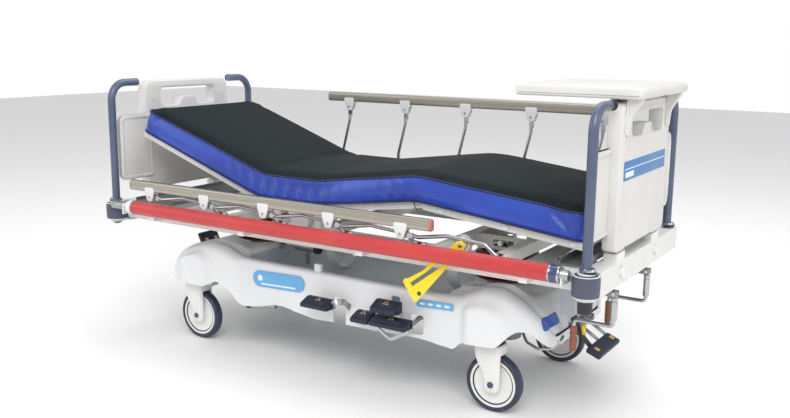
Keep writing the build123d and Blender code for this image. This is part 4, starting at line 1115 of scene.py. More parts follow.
def rail_clamp(name, x, y, pivot_z, rail_z):
    """White moulded clamp that hugs the handrail and forks over the eye of a post."""
    top, foot = rail_z - 2, pivot_z - 18
    loop = outline([(x - 25, top, 5), (x - 25, rail_z - 20, 9), (x - 12, foot, 9), (x + 12, foot, 9),
                    (x + 25, rail_z - 20, 9), (x + 25, top, 5)], 6)
    clamp = slab(name, loop, y - 14.5, y + 14.5, "y", WHITE_PLASTIC, edge=2.0)
    fork = plain_block("room", (x - 40, y - 5.2, foot - 20), (x + 40, y + 5.2, pivot_z + 11), WHITE_PLASTIC)
    return carve(clamp, fork)


def handrails():
    """Grooved handrail of each side, its end caps and its five clamps."""
    for label, _ in SIDES:
        first = pivot_mm(f"{label}_rail_level")
        x0 = first.x - RAIL_OVERHANG
        x1 = x0 + RAIL_LONG
        y, z = first.y, first.z + RAIL_RISE
        bar = slab(f"{label}_handrail_bar", rail_section(y, z), x0 + 7, x1 - 7, "x", CHAMPAGNE, edge=0.5)
        top = z + RAIL_HALF_Z
        line = brick(f"{label}_handrail_line", (x0 + 9, y - 4.5, top - 1), (x1 - 9, y + 4.5, top + 0.5), 0.4,
                     DARK_TRIM_AND_GAP_SHADE)
        body = f"{label}_handrail"
        attach(body, "champagne", bar, line)
        for end, a in (("head", x0), ("foot", x1 - 7)):
            corners = ((-13, -12), (-7, -20), (7, -20), (13, -12), (13, 12), (7, 20), (-7, 20), (-13, 12))
            loop = outline([(y + u, z + v) for u, v in corners], 3)
            tone = PINK_CAP if end == "foot" else CHAMPAGNE
            cap = slab(f"{label}_handrail_cap_{end}", loop, a, a + 7, "x", tone, edge=2.5)
            sign = -1 if end == "head" else 1
            screw = dome_head(f"{label}_cap_screw_{end}", (a + (0 if sign < 0 else 7) - sign * 2.6, y, z),
                              "x", sign, 3.5, ZINC)
            attach(body, "champagne", cap, screw)
        for i in range(POST_COUNT):
            x = first.x + POST_PITCH * i
            clamp = rail_clamp(f"{label}_clamp_{i + 1}", x, y, first.z, z)
            pins = [dome_head(f"{label}_clamp_pin_{i + 1}_{s}", (x, y + t * 14.5, first.z), "y", t, 5, CHROME)
                    for s, t in SIDES]
            attach(body, "champagne", clamp, *pins)
        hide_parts(f"{label}_top_rail")


def post_feet():
    """Rivet heads and nylon washers at the lower pivots of the posts."""
    for label, _ in SIDES:
        foot = pivot_mm(f"{label}_rail_fold")
        for i, x in enumerate(POST_FEET):
            for s, t in SIDES:
                spot = (x, foot.y + t * 8, foot.z)
                rows = [(4, 0), (9.5, 0), (9.5, t * 1.4), (4, t * 1.4)]
                washer = turned(f"{label}_post_washer_{i + 1}_{s}", rows, spot, "y", PALE_LABEL, count=24)
                head = dome_head(f"{label}_post_rivet_{i + 1}_{s}", (x, foot.y + t * 9.4, foot.z), "y", t,
                                 5.5, ZINC)
                attach("frame", "frame_paint", washer, head)


def release_levers():
    """Pivot bolt, striped grey boss and rim of each yellow lever; the plate itself is the CAD node."""
    for label, side in SIDES:
        pivot = pivot_mm(f"{label}_release")
        rows = [(6, 394), (29, 394), (31, 396), (31, 402), (29.5, 405), (24, 405), (24, 406),
                (20, 406), (20, 405), (14, 405), (14, 407), (6, 407)]
        bands = [0, 0, 0, 0, 0, 1, 1, 1, 0, 0, 1]
        wide = 1.0 if label == "near" else 0.56        # the folded far posts pass close above their lever
        disc = turned(f"{label}_lever_boss", [(max(r * wide, 6), side * h) for r, h in rows],
                      (pivot.x, 0, pivot.z), "y", GREY_DISC, PALE_LABEL, bands=bands)
        attach("frame", "dark_cover", disc)
        bolt = dome_head(f"{label}_lever_bolt", (pivot.x, side * 424, pivot.z), "y", side, 8, ZINC)
        nut_rows = [(4, 407), (7.5, 407), (7.5, 412), (4, 412)]
        nut = turned(f"{label}_lever_nut", [(r, side * h) for r, h in nut_rows], (pivot.x, 0, pivot.z), "y",
                     ZINC, count=6)
        attach("frame", "chrome", bolt, nut)
        drop = LEVER_LOW_Z - box_mm(f"{label}_release_lever")[0].z
        bush_rows = [(4, 417.5), (7.5, 417.5), (7.5, 424), (4, 424)]
        ring = turned(f"{label}_lever_bush", [(r, side * h) for r, h in bush_rows], (456, 0, 405 - drop), "y",
                      DARK_TRIM_AND_GAP_SHADE, count=24)
        attach(f"{label}_lever", "lever", ring)


# ---------------------------------------------------------------- bumpers and posts
def corner_rollers():
    """Roller at each near corner, and the rubber foot or short bolt under it."""
    rows = [(15, -34.5), (35, -34.5), (39.5, -32.5), (40.6, -30), (41.6, -24), (42.4, 0), (42.4, 18),
            (41.6, 30), (40.8, 33), (36, 34.5), (15, 34.5)]
    bands = [0, 1, 1, 0, 0, 0, 0, 0, 1, 0]
    for end in ("head", "foot"):
        low, high = box_mm(f"bumper_roller_{end}")
        centre = (low + high) / 2
        roller = turned(f"corner_roller_{end}", rows, centre, "z", ROLLER_RUBBER, PALE_LABEL, bands=bands,
                        count=64)
        attach(f"roller_{end}", "bumper_rubber", roller)
        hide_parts(f"bumper_roller_{end}")
        if end == "foot":
            rows_below = [(3, 433), (19, 433.2), (21.8, 435.5), (22, 441), (21.6, 443), (22.2, 445),
                          (22.4, 467), (12, 468)]
        else:
            rows_below = [(3, 464), (11, 464.4), (14, 466), (15.5, 468), (15.5, 476), (19, 476.5), (19, 481),
                          (8, 482)]
        nub = turned(f"corner_nub_{end}", rows_below, (centre.x, centre.y, 0), "z", BLACK_RUBBER, count=40)
        attach("frame", "bumper_rubber", nub)


def post_collars():
    """Chrome and black rings round the foot of every push post, and the plug at the end of its handle."""
    low, high = box_mm("push_posts")
    for end, x in (("head", low.x + 15.5), ("foot", high.x - 15.5)):
        for label, side in SIDES:
            y = side * POST_Y
            rows = [(15.6, 558), (22.6, 558), (23, 559), (23, 564), (22, 565), (21.6, 565.5), (21.6, 568),
                    (19, 569.5), (18.2, 572), (15.6, 573)]
            bands = [0, 0, 0, 0, 1, 1, 1, 1, 1]
            ring = turned(f"post_ring_{end}_{label}", rows, (x, y, 0), "z", BLACK_RUBBER, CHROME, bands=bands)
            stub = [(3, 0), (12, 0), (15.4, -1), (15.9, 3), (15.9, 8), (12, 9)]
            plug = turned(f"handle_plug_{end}_{label}",
                          [(r, side * (POST_HANDLE_END_Y + h)) for r, h in stub],
                          (x, 0, POST_HANDLE_Z), "y", BLACK_RUBBER, count=40)
            attach("frame", "post_paint", ring, plug)


def bumper_collars():
    """Collars at both ends of the soft tubes, and the tube that runs on to the corner."""
    low, high = box_mm("side_bumper_tubes")
    for label, side in SIDES:
        y, z = side * BUMPER_Y, BUMPER_Z
        for end, x, sx in (("head", low.x, -1), ("foot", high.x, 1)):
            rows = [(14, -1), (27.6, -1), (28, 0.5), (28, 3), (27.4, 4), (27.4, 28), (28, 30), (28, 33),
                    (27, 34.5), (14, 34.5)]
            bands = [1, 1, 1, 1, 0, 1, 1, 1, 1]
            tones = (COLLAR_BLUE, CHROME) if end == "foot" else (FRAME_PAINT, ZINC)
            collar = turned(f"bumper_collar_{end}_{label}", [(r, sx * h) for r, h in rows], (x, y, z), "x",
                            *tones, bands=bands)
            run_rows = [(4, 915), (16.2, 915), (16.2, 981), (14.5, 984), (4, 984)]
            run = turned(f"bumper_run_{end}_{label}", [(r, sx * h) for r, h in run_rows], (0, y, z), "x",
                         ZINC)
            attach("frame", "frame_paint", collar, run)


handrails()
post_feet()
release_levers()
corner_rollers()
post_collars()
bumper_collars()


# ---------------------------------------------------------------- end boards and chart table
BODY_HALF = 248.0
WING_HALF = 388.0
INNER_X = 998.0
OUTER_X = 1050.0
TABLE_LOW_Z = 1058.0
TABLE_TOP_Z = 1093.0


def handle_opening(grow=0.0):
    """Hand grip with a round bump in the middle of its lower edge."""
    g = grow
    return outline([(-160 - g, 938 - g, 22), (-56 - g, 938 - g, 16), (-38, 974 - g, 26), (38, 974 - g, 26),
                    (56 + g, 938 - g, 16), (160 + g, 938 - g, 22), (160 + g, 1013 + g, 18),
                    (-160 - g, 1013 + g, 18)], 20, steps=8)


def bed_board(end, sx):
    """Hollow-looking board with a grip, a bead, thin side wings and two tongues that drop into the frame."""
    def along(a, b):
        return sorted((sx * a, sx * b))

    loop = outline([(-BODY_HALF, 588, 14), (BODY_HALF, 588, 14), (BODY_HALF, 1045, 40),
                    (-BODY_HALF, 1045, 40)], 20, steps=8)
    body = slab(f"{end}_board_body", loop, *along(INNER_X + 4, OUTER_X), "x", BOARD_PLASTIC,
                holes=[handle_opening()], edge=7.0)
    groove = [(-BODY_HALF + 20, 606, 18), (BODY_HALF - 20, 606, 18), (BODY_HALF - 20, 1027, 30),
              (-BODY_HALF + 20, 1027, 30)]
    inner = [(-BODY_HALF + 26, 612, 14), (BODY_HALF - 26, 612, 14), (BODY_HALF - 26, 1021, 26),
             (-BODY_HALF + 26, 1021, 26)]
    bead = slab(f"{end}_board_bead", outline(groove, 20, steps=8), *along(OUTER_X - 4, OUTER_X + 1.6), "x",
                BOARD_PLASTIC, holes=[outline(inner, 20, steps=8)], edge=1.6)
    lip = slab(f"{end}_grip_lip", handle_opening(7.0), *along(OUTER_X - 6, OUTER_X + 2.2), "x", BOARD_PLASTIC,
               holes=[handle_opening(0.5)], edge=2.0)
    parts = [body, bead, lip]
    for label, side in SIDES:
        y0, y1 = side * (BODY_HALF - 24), side * WING_HALF
        wing = [(y0, 640), (y1, 640, 26), (y1, 908, 26), (y0, 908)]
        hole = [(y0 + side * 6, 656), (y1 - side * 17, 656, 14), (y1 - side * 17, 892, 14),
                (y0 + side * 6, 892)]
        panel = slab(f"{end}_wing_{label}", outline(wing, 2, steps=8), *along(INNER_X + 3, INNER_X + 21), "x",
                     BOARD_PLASTIC, edge=3.0)
        border = slab(f"{end}_wing_border_{label}", outline(wing, 2, steps=8), *along(INNER_X, INNER_X + 25),
                      "x", BOARD_PLASTIC, holes=[outline(hole, 2, steps=8)], edge=3.5)
        rib_x, rib_y = sx * (INNER_X + 16), side * 374
        rib = pipe(f"{end}_wing_rib_{label}", [(rib_x, rib_y, 664), (rib_x, rib_y, 884)], 12.5, BOARD_PLASTIC,
                   end_round=8.0)
        tongue = brick(f"{end}_tongue_{label}", (sx * 1024 - 12.5, side * 180 - 26, 534),
                       (sx * 1024 + 12.5, side * 180 + 26, 592), 2.0, BOARD_PLASTIC)
        skirt = brick(f"{end}_tongue_collar_{label}", (sx * 1024 - 19, side * 180 - 34, 580.5),
                      (sx * 1024 + 19, side * 180 + 34, 592), 3.0, BOARD_PLASTIC)
        screw_rows = [(2, -2), (8, -2), (8, 1.5), (6.5, 3), (2.5, 3), (2, 1.6)]
        screw = turned(f"{end}_board_screw_{label}", [(r, sx * h) for r, h in screw_rows],
                       (sx * OUTER_X, side * 207, 975), "x", DARK_STEEL, count=32)
        plug_rows = [(2, 1.4), (6.5, 1.4), (8, -0.6), (8, 3), (2, 3)]
        plug = turned(f"{end}_board_plug_{label}", [(r, sx * h) for r, h in plug_rows],
                      (sx * (INNER_X + 4), side * 205, 962), "x", DARK_TRIM_AND_GAP_SHADE, count=32)
        parts += [panel, border, rib, tongue, skirt, screw, plug]
    attach(f"{end}_board", "board", *parts)
    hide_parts(f"{end}_board")


def board_label():
    """Plain blue strip with a thin pale line across the outer face of the foot board."""
    face = OUTER_X
    strip = slab("board_strip", outline([(-214, 806), (214, 806), (214, 866), (-214, 866)], 4), face - 1,
                 face + 1.4, "x", STRIP_LABEL, edge=0.5)
    line = slab("board_strip_line", outline([(-206, 840), (206, 840), (206, 843), (-206, 843)], 1), face,
                face + 1.9, "x", PALE_LABEL, edge=0.3)
    patch = slab("board_strip_patch", outline([(-200, 815), (-120, 815), (-120, 832), (-200, 832)], 3), face,
                 face + 1.9, "x", PALE_LABEL, edge=0.3)
    attach("foot_board", "board", strip, line, patch)


def chart_table():
    """Flat table with rounded edges that hooks over the foot board on two gussets."""
    low, high = box_mm("chart_table")
    x0, x1, z0, z1 = low.x, high.x, TABLE_LOW_Z, TABLE_TOP_Z
    loop = outline([(x0, z0, 9), (x1, z0, 17), (x1, z1, 17), (x0, z1, 12)], 10, steps=8)
    top = slab("table_top", loop, -250, 250, "y", BOARD_PLASTIC, edge=9.0)
    rim_outer = outline([(x0 + 20, -232), (x1 - 20, -232), (x1 - 20, 232), (x0 + 20, 232)], 18, steps=8)
    rim_inner = outline([(x0 + 27, -225), (x1 - 27, -225), (x1 - 27, 225), (x0 + 27, 225)], 14, steps=8)
    rim = slab("table_rim", rim_outer, z1 - 3, z1 + 1.5, "z", BOARD_PLASTIC, holes=[rim_inner], edge=1.4)
    seam = brick("table_seam", (x0 + 12, -250.3, 1067.4), (x1 - 12, 250.3, 1068.6), 0.3, DARK_TRIM_AND_GAP_SHADE)
    hook = brick("table_hook", (986, -190, 1000), (996, 190, z0 + 2), 3.0, BOARD_PLASTIC)
    rest = brick("table_rest", (1002, -150, 1045.3), (1046, 150, z0 + 2), 3.0, BOARD_PLASTIC)
    parts = [top, rim, seam, hook, rest]
    for label, side in SIDES:
        y = side * 210
        web = outline([(1051, z0 + 3, 0), (1051, 946, 4), (1059, 944, 5), (1064, 1000, 60),
                       (1098, z0 - 4, 30), (1098, z0 + 3, 0)], 5, steps=8)
        parts.append(slab(f"table_gusset_{label}", web, y - 11, y + 11, "y", BOARD_PLASTIC, edge=4.0))
        pad = outline([(y - 20, 950), (y + 20, 950), (y + 14, 1056), (y - 14, 1056)], 8)
        parts.append(slab(f"table_gusset_pad_{label}", pad, 1050.6, 1055, "x", BOARD_PLASTIC, edge=1.5))
    attach("table", "board", *parts)
    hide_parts("chart_table")


bed_board("head", -1)
bed_board("foot", 1)
board_label()
chart_table()


# ---------------------------------------------------------------- pedals
PEDAL_SHAFT = pivot_mm("pump_press")
PAD_INNER_Y = -370.0
ELBOW_Y = -328.0


def shoe_top(y, front, z, height):
    """Height of the sloping upper face of a pedal shoe."""
    share = min(max((y - front - 6) / (PAD_INNER_Y - front - 24), 0.0), 1.0)
    return z + height * (0.06 + 0.44 * share)


def slope_mark(name, loop, front, z, height, material, thick=0.8):
    """A flat mark, given by X and Y corners, lying on the sloping face of a shoe."""
    rings = [[Vector((x, y, shoe_top(y, front, z, height) + rise)) for x, y in loop]
             for rise in (-1.5, thick)]
    return loft(name, rings, material)


def side_pedal(name, x, z, size, arm_x):
    """Moulded shoe with ridges and a gold arrow, on a steel strap from the pedal shaft."""
    length, depth, height = size
    front = PAD_INNER_Y - depth
    low, high = z - height / 2, z + height / 2
    loop = outline([(front + 2, low + 2, 6), (front, z - 2, 7), (front + 8, z + height * 0.1, 6),
                    (PAD_INNER_Y - 18, high, 7), (PAD_INNER_Y, high, 5), (PAD_INNER_Y, low, 5)], 5)
    shoe = slab(f"{name}_shoe", loop, x - length / 2, x + length / 2, "x", PEDAL_PLASTIC, edge=5.0)
    parts = [shoe]
    tip = PAD_INNER_Y - 20
    arrow = [(x - 13, tip - 14), (x + 13, tip - 14), (x + 1.5, tip + 4), (x - 1.5, tip + 4)]
    parts.append(slope_mark(f"{name}_mark", arrow, front, z, height, GOLD_MARK))
    inner_arrow = [(x - 6, tip - 11), (x + 6, tip - 11), (x + 0.7, tip - 2), (x - 0.7, tip - 2)]
    parts.append(slope_mark(f"{name}_mark_core", inner_arrow, front, z, height, PEDAL_PLASTIC, 1.2))
    for i in range(3):
        y = front + 13 + 7 * i
        ridge = [(x - length * 0.3, y - 1.4), (x + length * 0.3, y - 1.4), (x + length * 0.3, y + 1.4),
                 (x - length * 0.3, y + 1.4)]
        parts.append(slope_mark(f"{name}_ridge_{i + 1}", ridge, front, z, height, PEDAL_PLASTIC, 1.6))
    attach(name, "pedal", *parts)
    sy, sz = PEDAL_SHAFT.y, PEDAL_SHAFT.z
    strap_view = outline([(sy, sz - 8, 0), (sy, sz + 8, 0), (ELBOW_Y, sz + 8, 6), (PAD_INNER_Y + 8, z + 6, 6),
                          (PAD_INNER_Y - 20, z + 6, 0), (PAD_INNER_Y - 20, z - 6, 0),
                          (PAD_INNER_Y + 8, z - 6, 6), (ELBOW_Y, sz - 8, 6)], 5)
    strap = slab(f"{name}_strap", strap_view, arm_x - 5, arm_x + 5, "x", ZINC, edge=1.0)
    hub = turned(f"{name}_hub", [(8.1, -12), (16, -12), (17, -11), (17, 11), (16, 12), (8.1, 12)],
                 (arm_x, sy, sz), "x", DARK_STEEL)
    attach(name, "steel", strap, hub)
    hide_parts(name)


def side_pedals():
    side_pedal("release_pedal", 18, 290, (120, 62, 34), 70)
    side_pedal("pump_pedal", 310, 326, (100, 58, 40), 310)
    side_pedal("lower_head_pedal", 215, 274, (72, 62, 36), 218)
    side_pedal("lower_foot_pedal", 330, 274, (146, 62, 32), 398)
    arch = rounded_path([(76, -398, 284), (92, -398, 306), (112, -372, 306), (122, -345, 278)], 14)
    band = swept("release_arch", arch, 11, 2.2, ZINC, up=(0, 1, 0), power=6)
    attach("release_pedal", "steel", band)
    loop = [(262, -395, 262), (262, -396, 252), (330, -398, 214), (398, -396, 252), (398, -395, 262)]
    stirrup = swept("lower_stirrup", rounded_path(loop, 16), 6.5, 3.0, BRIGHT_TUBE, up=(0, 1, 0), power=5)
    attach("lower_foot_pedal", "steel", stirrup)


# Each brake pad: reach from its pivot along X and Z, half length, ends along Y, lean in degrees.
FOOT_PAD = (88.0, -54.0), 27.0, (-150.0, 45.0), 22.0
HEAD_PAD = (24.0, 62.0), 40.0, (-54.0, 54.0), 62.0
PAD_RIDGES = 4
BRAKE_ARM_Y = 36


def brake_pedals():
    """Rocking brake pedals at both ends, each on two steel arms from its cross tube."""
    for end, sx, (reach, half, width, lean) in (("foot", 1, FOOT_PAD), ("head", -1, HEAD_PAD)):
        pivot = pivot_mm("brake_rock" if end == "foot" else "brake_rock_head")
        pad_x, pad_z = pivot.x + sx * (reach[0] + 6), pivot.z + reach[1]
        centre = (pad_x, 0, pad_z)
        turn = (centre, lean, "Y")
        pad = brick(f"{end}_brake_pad", (pad_x - half, width[0], pad_z - 10),
                    (pad_x + half, width[1], pad_z + 10), 7.0, PEDAL_PLASTIC, turn=turn)
        parts = [pad]
        for i in range(PAD_RIDGES):
            x = pad_x - half + 10 + i * (2 * half - 20) / (PAD_RIDGES - 1)
            parts.append(brick(f"{end}_brake_ridge_{i + 1}", (x - 1.6, width[0] + 12, pad_z + 8),
                               (x + 1.6, width[1] - 12, pad_z + 11.6), 0.8, PEDAL_PLASTIC, turn=turn))
        for i, y in enumerate((width[0] + 26, width[1] - 26)):
            parts.append(brick(f"{end}_brake_mark_{i + 1}", (pad_x - 9, y - 9, pad_z + 9),
                               (pad_x + 9, y + 9, pad_z + 12.2), 1.0, GOLD_MARK, turn=turn))
        arms = []
        for label, side in SIDES:
            y = side * BRAKE_ARM_Y
            arms.append(pipe(f"{end}_brake_arm_{label}", [(pivot.x, y, pivot.z), (pad_x - sx * 6, y, pad_z)],
                             6.0, ZINC, end_round=1.0))
            ring = [(8.2, -6), (16, -6), (17, -5), (17, 5), (16, 6), (8.2, 6)]
            arms.append(turned(f"{end}_brake_ring_{label}", ring, (pivot.x, y, pivot.z), "y", CHROME))
        if end == "foot":
            route = rounded_path([(892, -150, 402), (886, -150, 340), (pivot.x + 40, -138, pivot.z + 6),
                                  (pad_x - 14, -118, pad_z + 6)], 40)
            parts.append(swept("foot_brake_lever", route, 20, 5, BLACK_RUBBER, up=(1, 0, 0), power=4,
                               taper=lambda t: 0.62 + 0.38 * sin(pi * min(t * 1.15, 1))))
            for name, tilt in (("a", 20), ("b", -20)):
                at = (pivot.x + 48, -132, pivot.z + 2)
                parts.append(brick(f"foot_brake_v_{name}", (at[0] - 1, at[1] - 4, at[2] - 2),
                                   (at[0] + 8, at[1] + 4, at[2] + 34), 1.2, YELLOW_PAINT,
                                   turn=(at, tilt, "X")))
        tube = turned(f"{end}_brake_tube", [(8.2, -58), (13, -58), (14, -57), (14, 57), (13, 58), (8.2, 58)],
                      pivot, "y", DARK_STEEL)
        attach(f"{end}_brake", "pedal", *parts)
        attach(f"{end}_brake", "steel", tube, *arms)
        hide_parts(f"{end}_brake_pedal")


# ---------------------------------------------------------------- cranks
CRANK_THROW = 130.0
CRANK_DROP = 108.0                  # from the eye down to the bar of the folded crank
CRANK_BAR_R = 6.5
GRIP_RIBS = 5
RIB_PITCH = 14


def crank_handle(label):
    """Folding crank: eye, sleeve, chrome bar bent inwards and a ribbed grip."""
    eye = pivot_mm(f"crank_unfold_{label}")
    x, y, z = eye
    drop = z - CRANK_DROP
    grip_x = x - CRANK_THROW
    knuckle_rows = [(4.2, -8), (7.5, -8), (8.5, -7), (8.5, 7), (7.5, 8), (4.2, 8)]
    knuckle = turned(f"crank_knuckle_{label}", knuckle_rows, eye, "y", ZINC)
    neck = brick(f"crank_neck_{label}", (x - 7, y - 7.5, z - 16), (x + 7, y + 7.5, z - 5), 1.5, ZINC)
    sleeve_rows = [(6, -12), (9.5, -12.5), (11, -14), (11, -22), (9.6, -23.5), (9.6, -27), (11, -28.5),
                   (11.2, -84), (10, -88), (6, -90)]
    sleeve = turned(f"crank_sleeve_{label}", sleeve_rows, eye, "z", BRIGHT_TUBE)
    route = [(x, y, z - 80), (x, y, drop), (grip_x, y, drop), (grip_x, y, drop - 42)]
    bar = pipe(f"crank_bar_{label}", route, CRANK_BAR_R, CHROME, bend=16, end_round=1.5)
    grip_rows = [(6.6, -21.5), (9, -21.5), (10.8, -23.5)]
    for i in range(GRIP_RIBS):
        top = -28 - i * RIB_PITCH
        grip_rows += [(11.4, top), (11.5, top - 9), (9.9, top - 10.5), (9.9, top - 12.5)]
    grip_rows += [(11.2, -98), (10.6, -102), (8, -104), (2, -104)]
    grip = turned(f"crank_grip_{label}", grip_rows, (grip_x, y, drop), "z", GRIP_BROWN, count=40)
    attach(f"handle_{label}", "chrome", bar, knuckle, neck, sleeve, grip)
    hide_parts(f"crank_handle_{label}")
    pin_rows = [(2, -16.5), (5.5, -16.5), (6, -15.2), (4, -15), (4, 15), (6, 15.2), (5.5, 16.5), (2, 16.5)]
    pin = turned(f"crank_pin_{label}", pin_rows, eye, "y", CHROME, count=24)
    attach(f"crank_{label}", "steel", pin)


side_pedals()
brake_pedals()
for crank_label in ("back", "knee"):
    crank_handle(crank_label)


# ---------------------------------------------------------------- plain labels on the base cover
def tilted(points, centre, angle):
    """Outline points turned about a centre by an angle in degrees."""
    c, s = cos(radians(angle)), sin(radians(angle))
    return [(centre[0] + u * c - v * s, centre[1] + u * s + v * c) for u, v in points]


def pill(half_long, half_high, count=12):
    """Outline of a plate with fully rounded ends, about its middle."""
    reach = half_long - half_high
    loop = []
    for sign, start in ((1, -90), (-1, 90)):
        for i in range(count + 1):
            a = radians(start + 180 * i / count)
            loop.append((sign * reach + half_high * cos(a), half_high * sin(a)))
    return loop


NOSE_LINE = ((954.4, -500.0, 421.7), (752.0, 0.0, 249.2))      # a line that meets the nose at the label
NOSE_LABEL_AT = (840.0, -205.0, 318.0)


def skirt_labels():
    face = -COVER_HALF
    centre = (-216.0, 322.0)
    plate = slab("skirt_label", tilted(pill(125, 31), centre, 2.1), face - 1.4, face + 2, "y", LIGHT_LABEL,
                 edge=0.6)
    bar = slab("skirt_label_line", tilted(pill(84, 3), (centre[0], centre[1] - 19), 2.1), face - 1.9, face,
               "y", PALE_LABEL, edge=0.3)
    blob = slab("skirt_label_mark", tilted(pill(12, 11.9), (centre[0] - 88, centre[1]), 2.1), face - 1.9,
                face, "y", PALE_LABEL, edge=0.3)
    strip_at = (468.0, 346.0)
    strip = slab("skirt_strip", tilted([(-71, -12), (71, -12), (71, 12), (-71, 12)], strip_at, 2.8),
                 face - 1.4, face + 2, "y", LIGHT_LABEL, edge=0.6)
    dashes = []
    for i, x in enumerate((-48, -16, 16, 48)):
        dash = tilted(pill(10, 4), (strip_at[0] + x, strip_at[1] + x * 0.05), 2.8)
        dashes.append(slab(f"skirt_strip_mark_{i + 1}", dash, face - 1.8, face, "y", PALE_LABEL, edge=0.3))
    attach("base", "cover", plate, bar, blob, strip, *dashes)


def divided(loop, step):
    """The closed outline with its long edges cut into pieces no longer than step."""
    points = []
    for (u0, v0), (u1, v1) in zip(loop, loop[1:] + loop[:1]):
        count = max(1, ceil(hypot(u1 - u0, v1 - v0) / step))
        points += [(u0 + (u1 - u0) * i / count, v0 + (v1 - v0) * i / count) for i in range(count)]
    return points


def nose_label(cover):
    """Deep blue rounded plate laid on the near corner of the foot-end nose."""
    start, beyond = Vector(in_metres(NOSE_LINE[0])), Vector(in_metres(NOSE_LINE[1]))
    normal = cover.ray_cast(start, (beyond - start).normalized())[2]
    rim = divided(outline([(-62, -18), (62, -18), (62, 18), (-62, 18)], 11), 5.0)
    rings = []
    for share, lift in ((1.0, -0.6), (1.0, 0.8), (0.97, 1.6), (0.85, 1.6), (0.7, 1.6), (0.55, 1.6),
                        (0.4, 1.6), (0.25, 1.6), (0.12, 1.6), (0.03, 1.6)):
        ring = []
        for u, v in rim:
            spot = Vector(in_metres((940, NOSE_LABEL_AT[1] + u * share, NOSE_LABEL_AT[2] + v * share)))
            hit, place, face, _ = cover.ray_cast(spot, Vector((-1, 0, 0)))
            place = place if hit else spot
            ring.append(place / MM - Vector((MID_X, 0, 0)) + (face if hit else normal) * lift)
        rings.append(ring)
    return loft("nose_label", rings, DEEP_LABEL)


# ---------------------------------------------------------------- tray and underside fittings
def tray_fittings():
    """Clip tab on the near rim, and the ribbed damper with a black end under the deck."""
    tab = brick("rim_tab", (-58, -322, 372), (-28, -306, 410), 3.0, WHITE_PLASTIC)
    attach("base", "clip", tab)
    rows = [(4, 0), (15, 0), (17, 2), (17, 8)]
    for i in range(9):
        h = 10 + i * 9
        rows += [(15.4, h), (17, h + 2), (17, h + 6), (15.4, h + 8)]
    rows += [(17, 94), (17, 100), (4, 101)]
    y, z = -60, 388
    damper = turned("damper_body", rows, (-352, y, z), "x", ZINC)
    end = turned("damper_end", [(4, 0), (18, 0), (20, 2), (20, 20), (17, 23), (8, 24)], (-252, y, z), "x",
                 BLACK_RUBBER)
    rod = pipe("damper_rod", [(-432, y, z), (-350, y, z)], 5.5, CHROME)
    clamp = brick("damper_clamp", (-300, y - 8, TRAY_FLOOR), (-288, y + 8, z - 13), 1.5, ZINC)
    bracket = brick("damper_bracket", (-436, y - 14, TRAY_FLOOR + 40), (-424, y + 14, z + 10), 2.0, ZINC)
    attach("base", "steel", damper, end, rod, clamp, bracket)


def underside_fittings():
    """Drain pipe, plates and cone that show below the skirt of the base."""
    pipe_path = [(700, -150, 262), (742, -190, 226), (790, -205, 216), (842, -198, 224), (858, -150, 258)]
    drain = pipe("nose_pipe", pipe_path, 5.0, CHROME, bend=30)
    narrow, broad = Vector((-397, -296, 179)), Vector((-268, -300, 209))
    cone_path = [narrow + (broad - narrow) * (i / 8) for i in range(9)]
    cone = swept("steering_cone", cone_path, 15, 15, ZINC, taper=lambda t: 0.35 + 0.65 * t)
    tip_path = [Vector(p) for p in ((-420, -295, 173.7), (-408, -295.5, 176.5), (-396, -296, 179.3))]
    nib = swept("steering_cone_tip", tip_path, 7, 7, BLACK_RUBBER, taper=lambda t: 0.5 + 0.5 * t)
    stay = pipe("steering_stay", [(-270, -299, 208), (-240, -292, 216), (-238, -292, 262)], 6, ZINC, bend=12)
    parts = [drain, cone, nib, stay]
    for side_label, side in SIDES:
        for end, x in (("foot", 592.0), ("head", -628.0)):
            low = (x - 32, side * 285 - 20, 232)
            high = (x + 32, side * 285 + 20, 250)
            parts.append(brick(f"swivel_plate_{end}_{side_label}", low, high, 2.0, ZINC))
            parts.append(brick(f"brake_cam_{end}_{side_label}", (x - 58, side * 262 - 6, 214),
                               (x - 8, side * 262 + 6, 240), 3.0, DARK_STEEL))
    attach("base", "steel", *parts)


def frame_covers():
    """Dark sheet over the head end of the frame and the grey box that hangs inside the near foot corner."""
    sheet = brick("head_frame_sheet", (-985, -338, 550.5), (-770, 338, 554.5), 1.2, DARK_STEEL)
    folds = [brick(f"head_frame_fold_{i + 1}", (x, -338, 550.5), (x + 4, 338, 566), 1.2, DARK_STEEL)
             for i, x in enumerate((-985, -774))]
    attach("frame", "dark_cover", sheet, *folds)
    box = brick("foot_corner_box", (884, -262, 362), (925, -188, 486), 5.0, GREY_DISC)
    lid = brick("foot_corner_box_lid", (923, -256, 370), (928, -194, 474), 2.0, GREY_DISC)
    hanger = brick("foot_corner_box_hanger", (888, -256, 480), (944, -196, 492), 1.5, DARK_STEEL)
    attach("frame", "dark_cover", box, lid, hanger)


def deck_trim():
    """Piped lilac edge of the leg section and round plugs in its side tubes."""
    knee = KNEE_PIVOT
    lean = (tuple(knee), 6.5, "Y")
    for label, side in SIDES:
        y = side * 311.5
        strip = brick(f"leg_edge_{label}", (knee.x + 24, min(y, y - side * 3), knee.z + 9),
                      (knee.x + 592, max(y, y - side * 3), knee.z + 14.6), 1.0, LINER, turn=lean)
        attach("leg_section", "frame_paint", strip)
        for i, x in enumerate((knee.x + 90, knee.x + 330, knee.x + 560)):
            plug = brick(f"leg_plug_{label}_{i + 1}", (x - 9, min(y, y + side * 1.6), knee.z - 9),
                         (x + 9, max(y, y + side * 1.6), knee.z + 5), 0.8, PALE_LABEL, turn=lean)
            attach("leg_section", "frame_paint", plug)


skirt_labels()
attach("base", "cover", nose_label(bpy.data.objects["base_cover_shell"]))
tray_fittings()
underside_fittings()
deck_trim()
frame_covers()


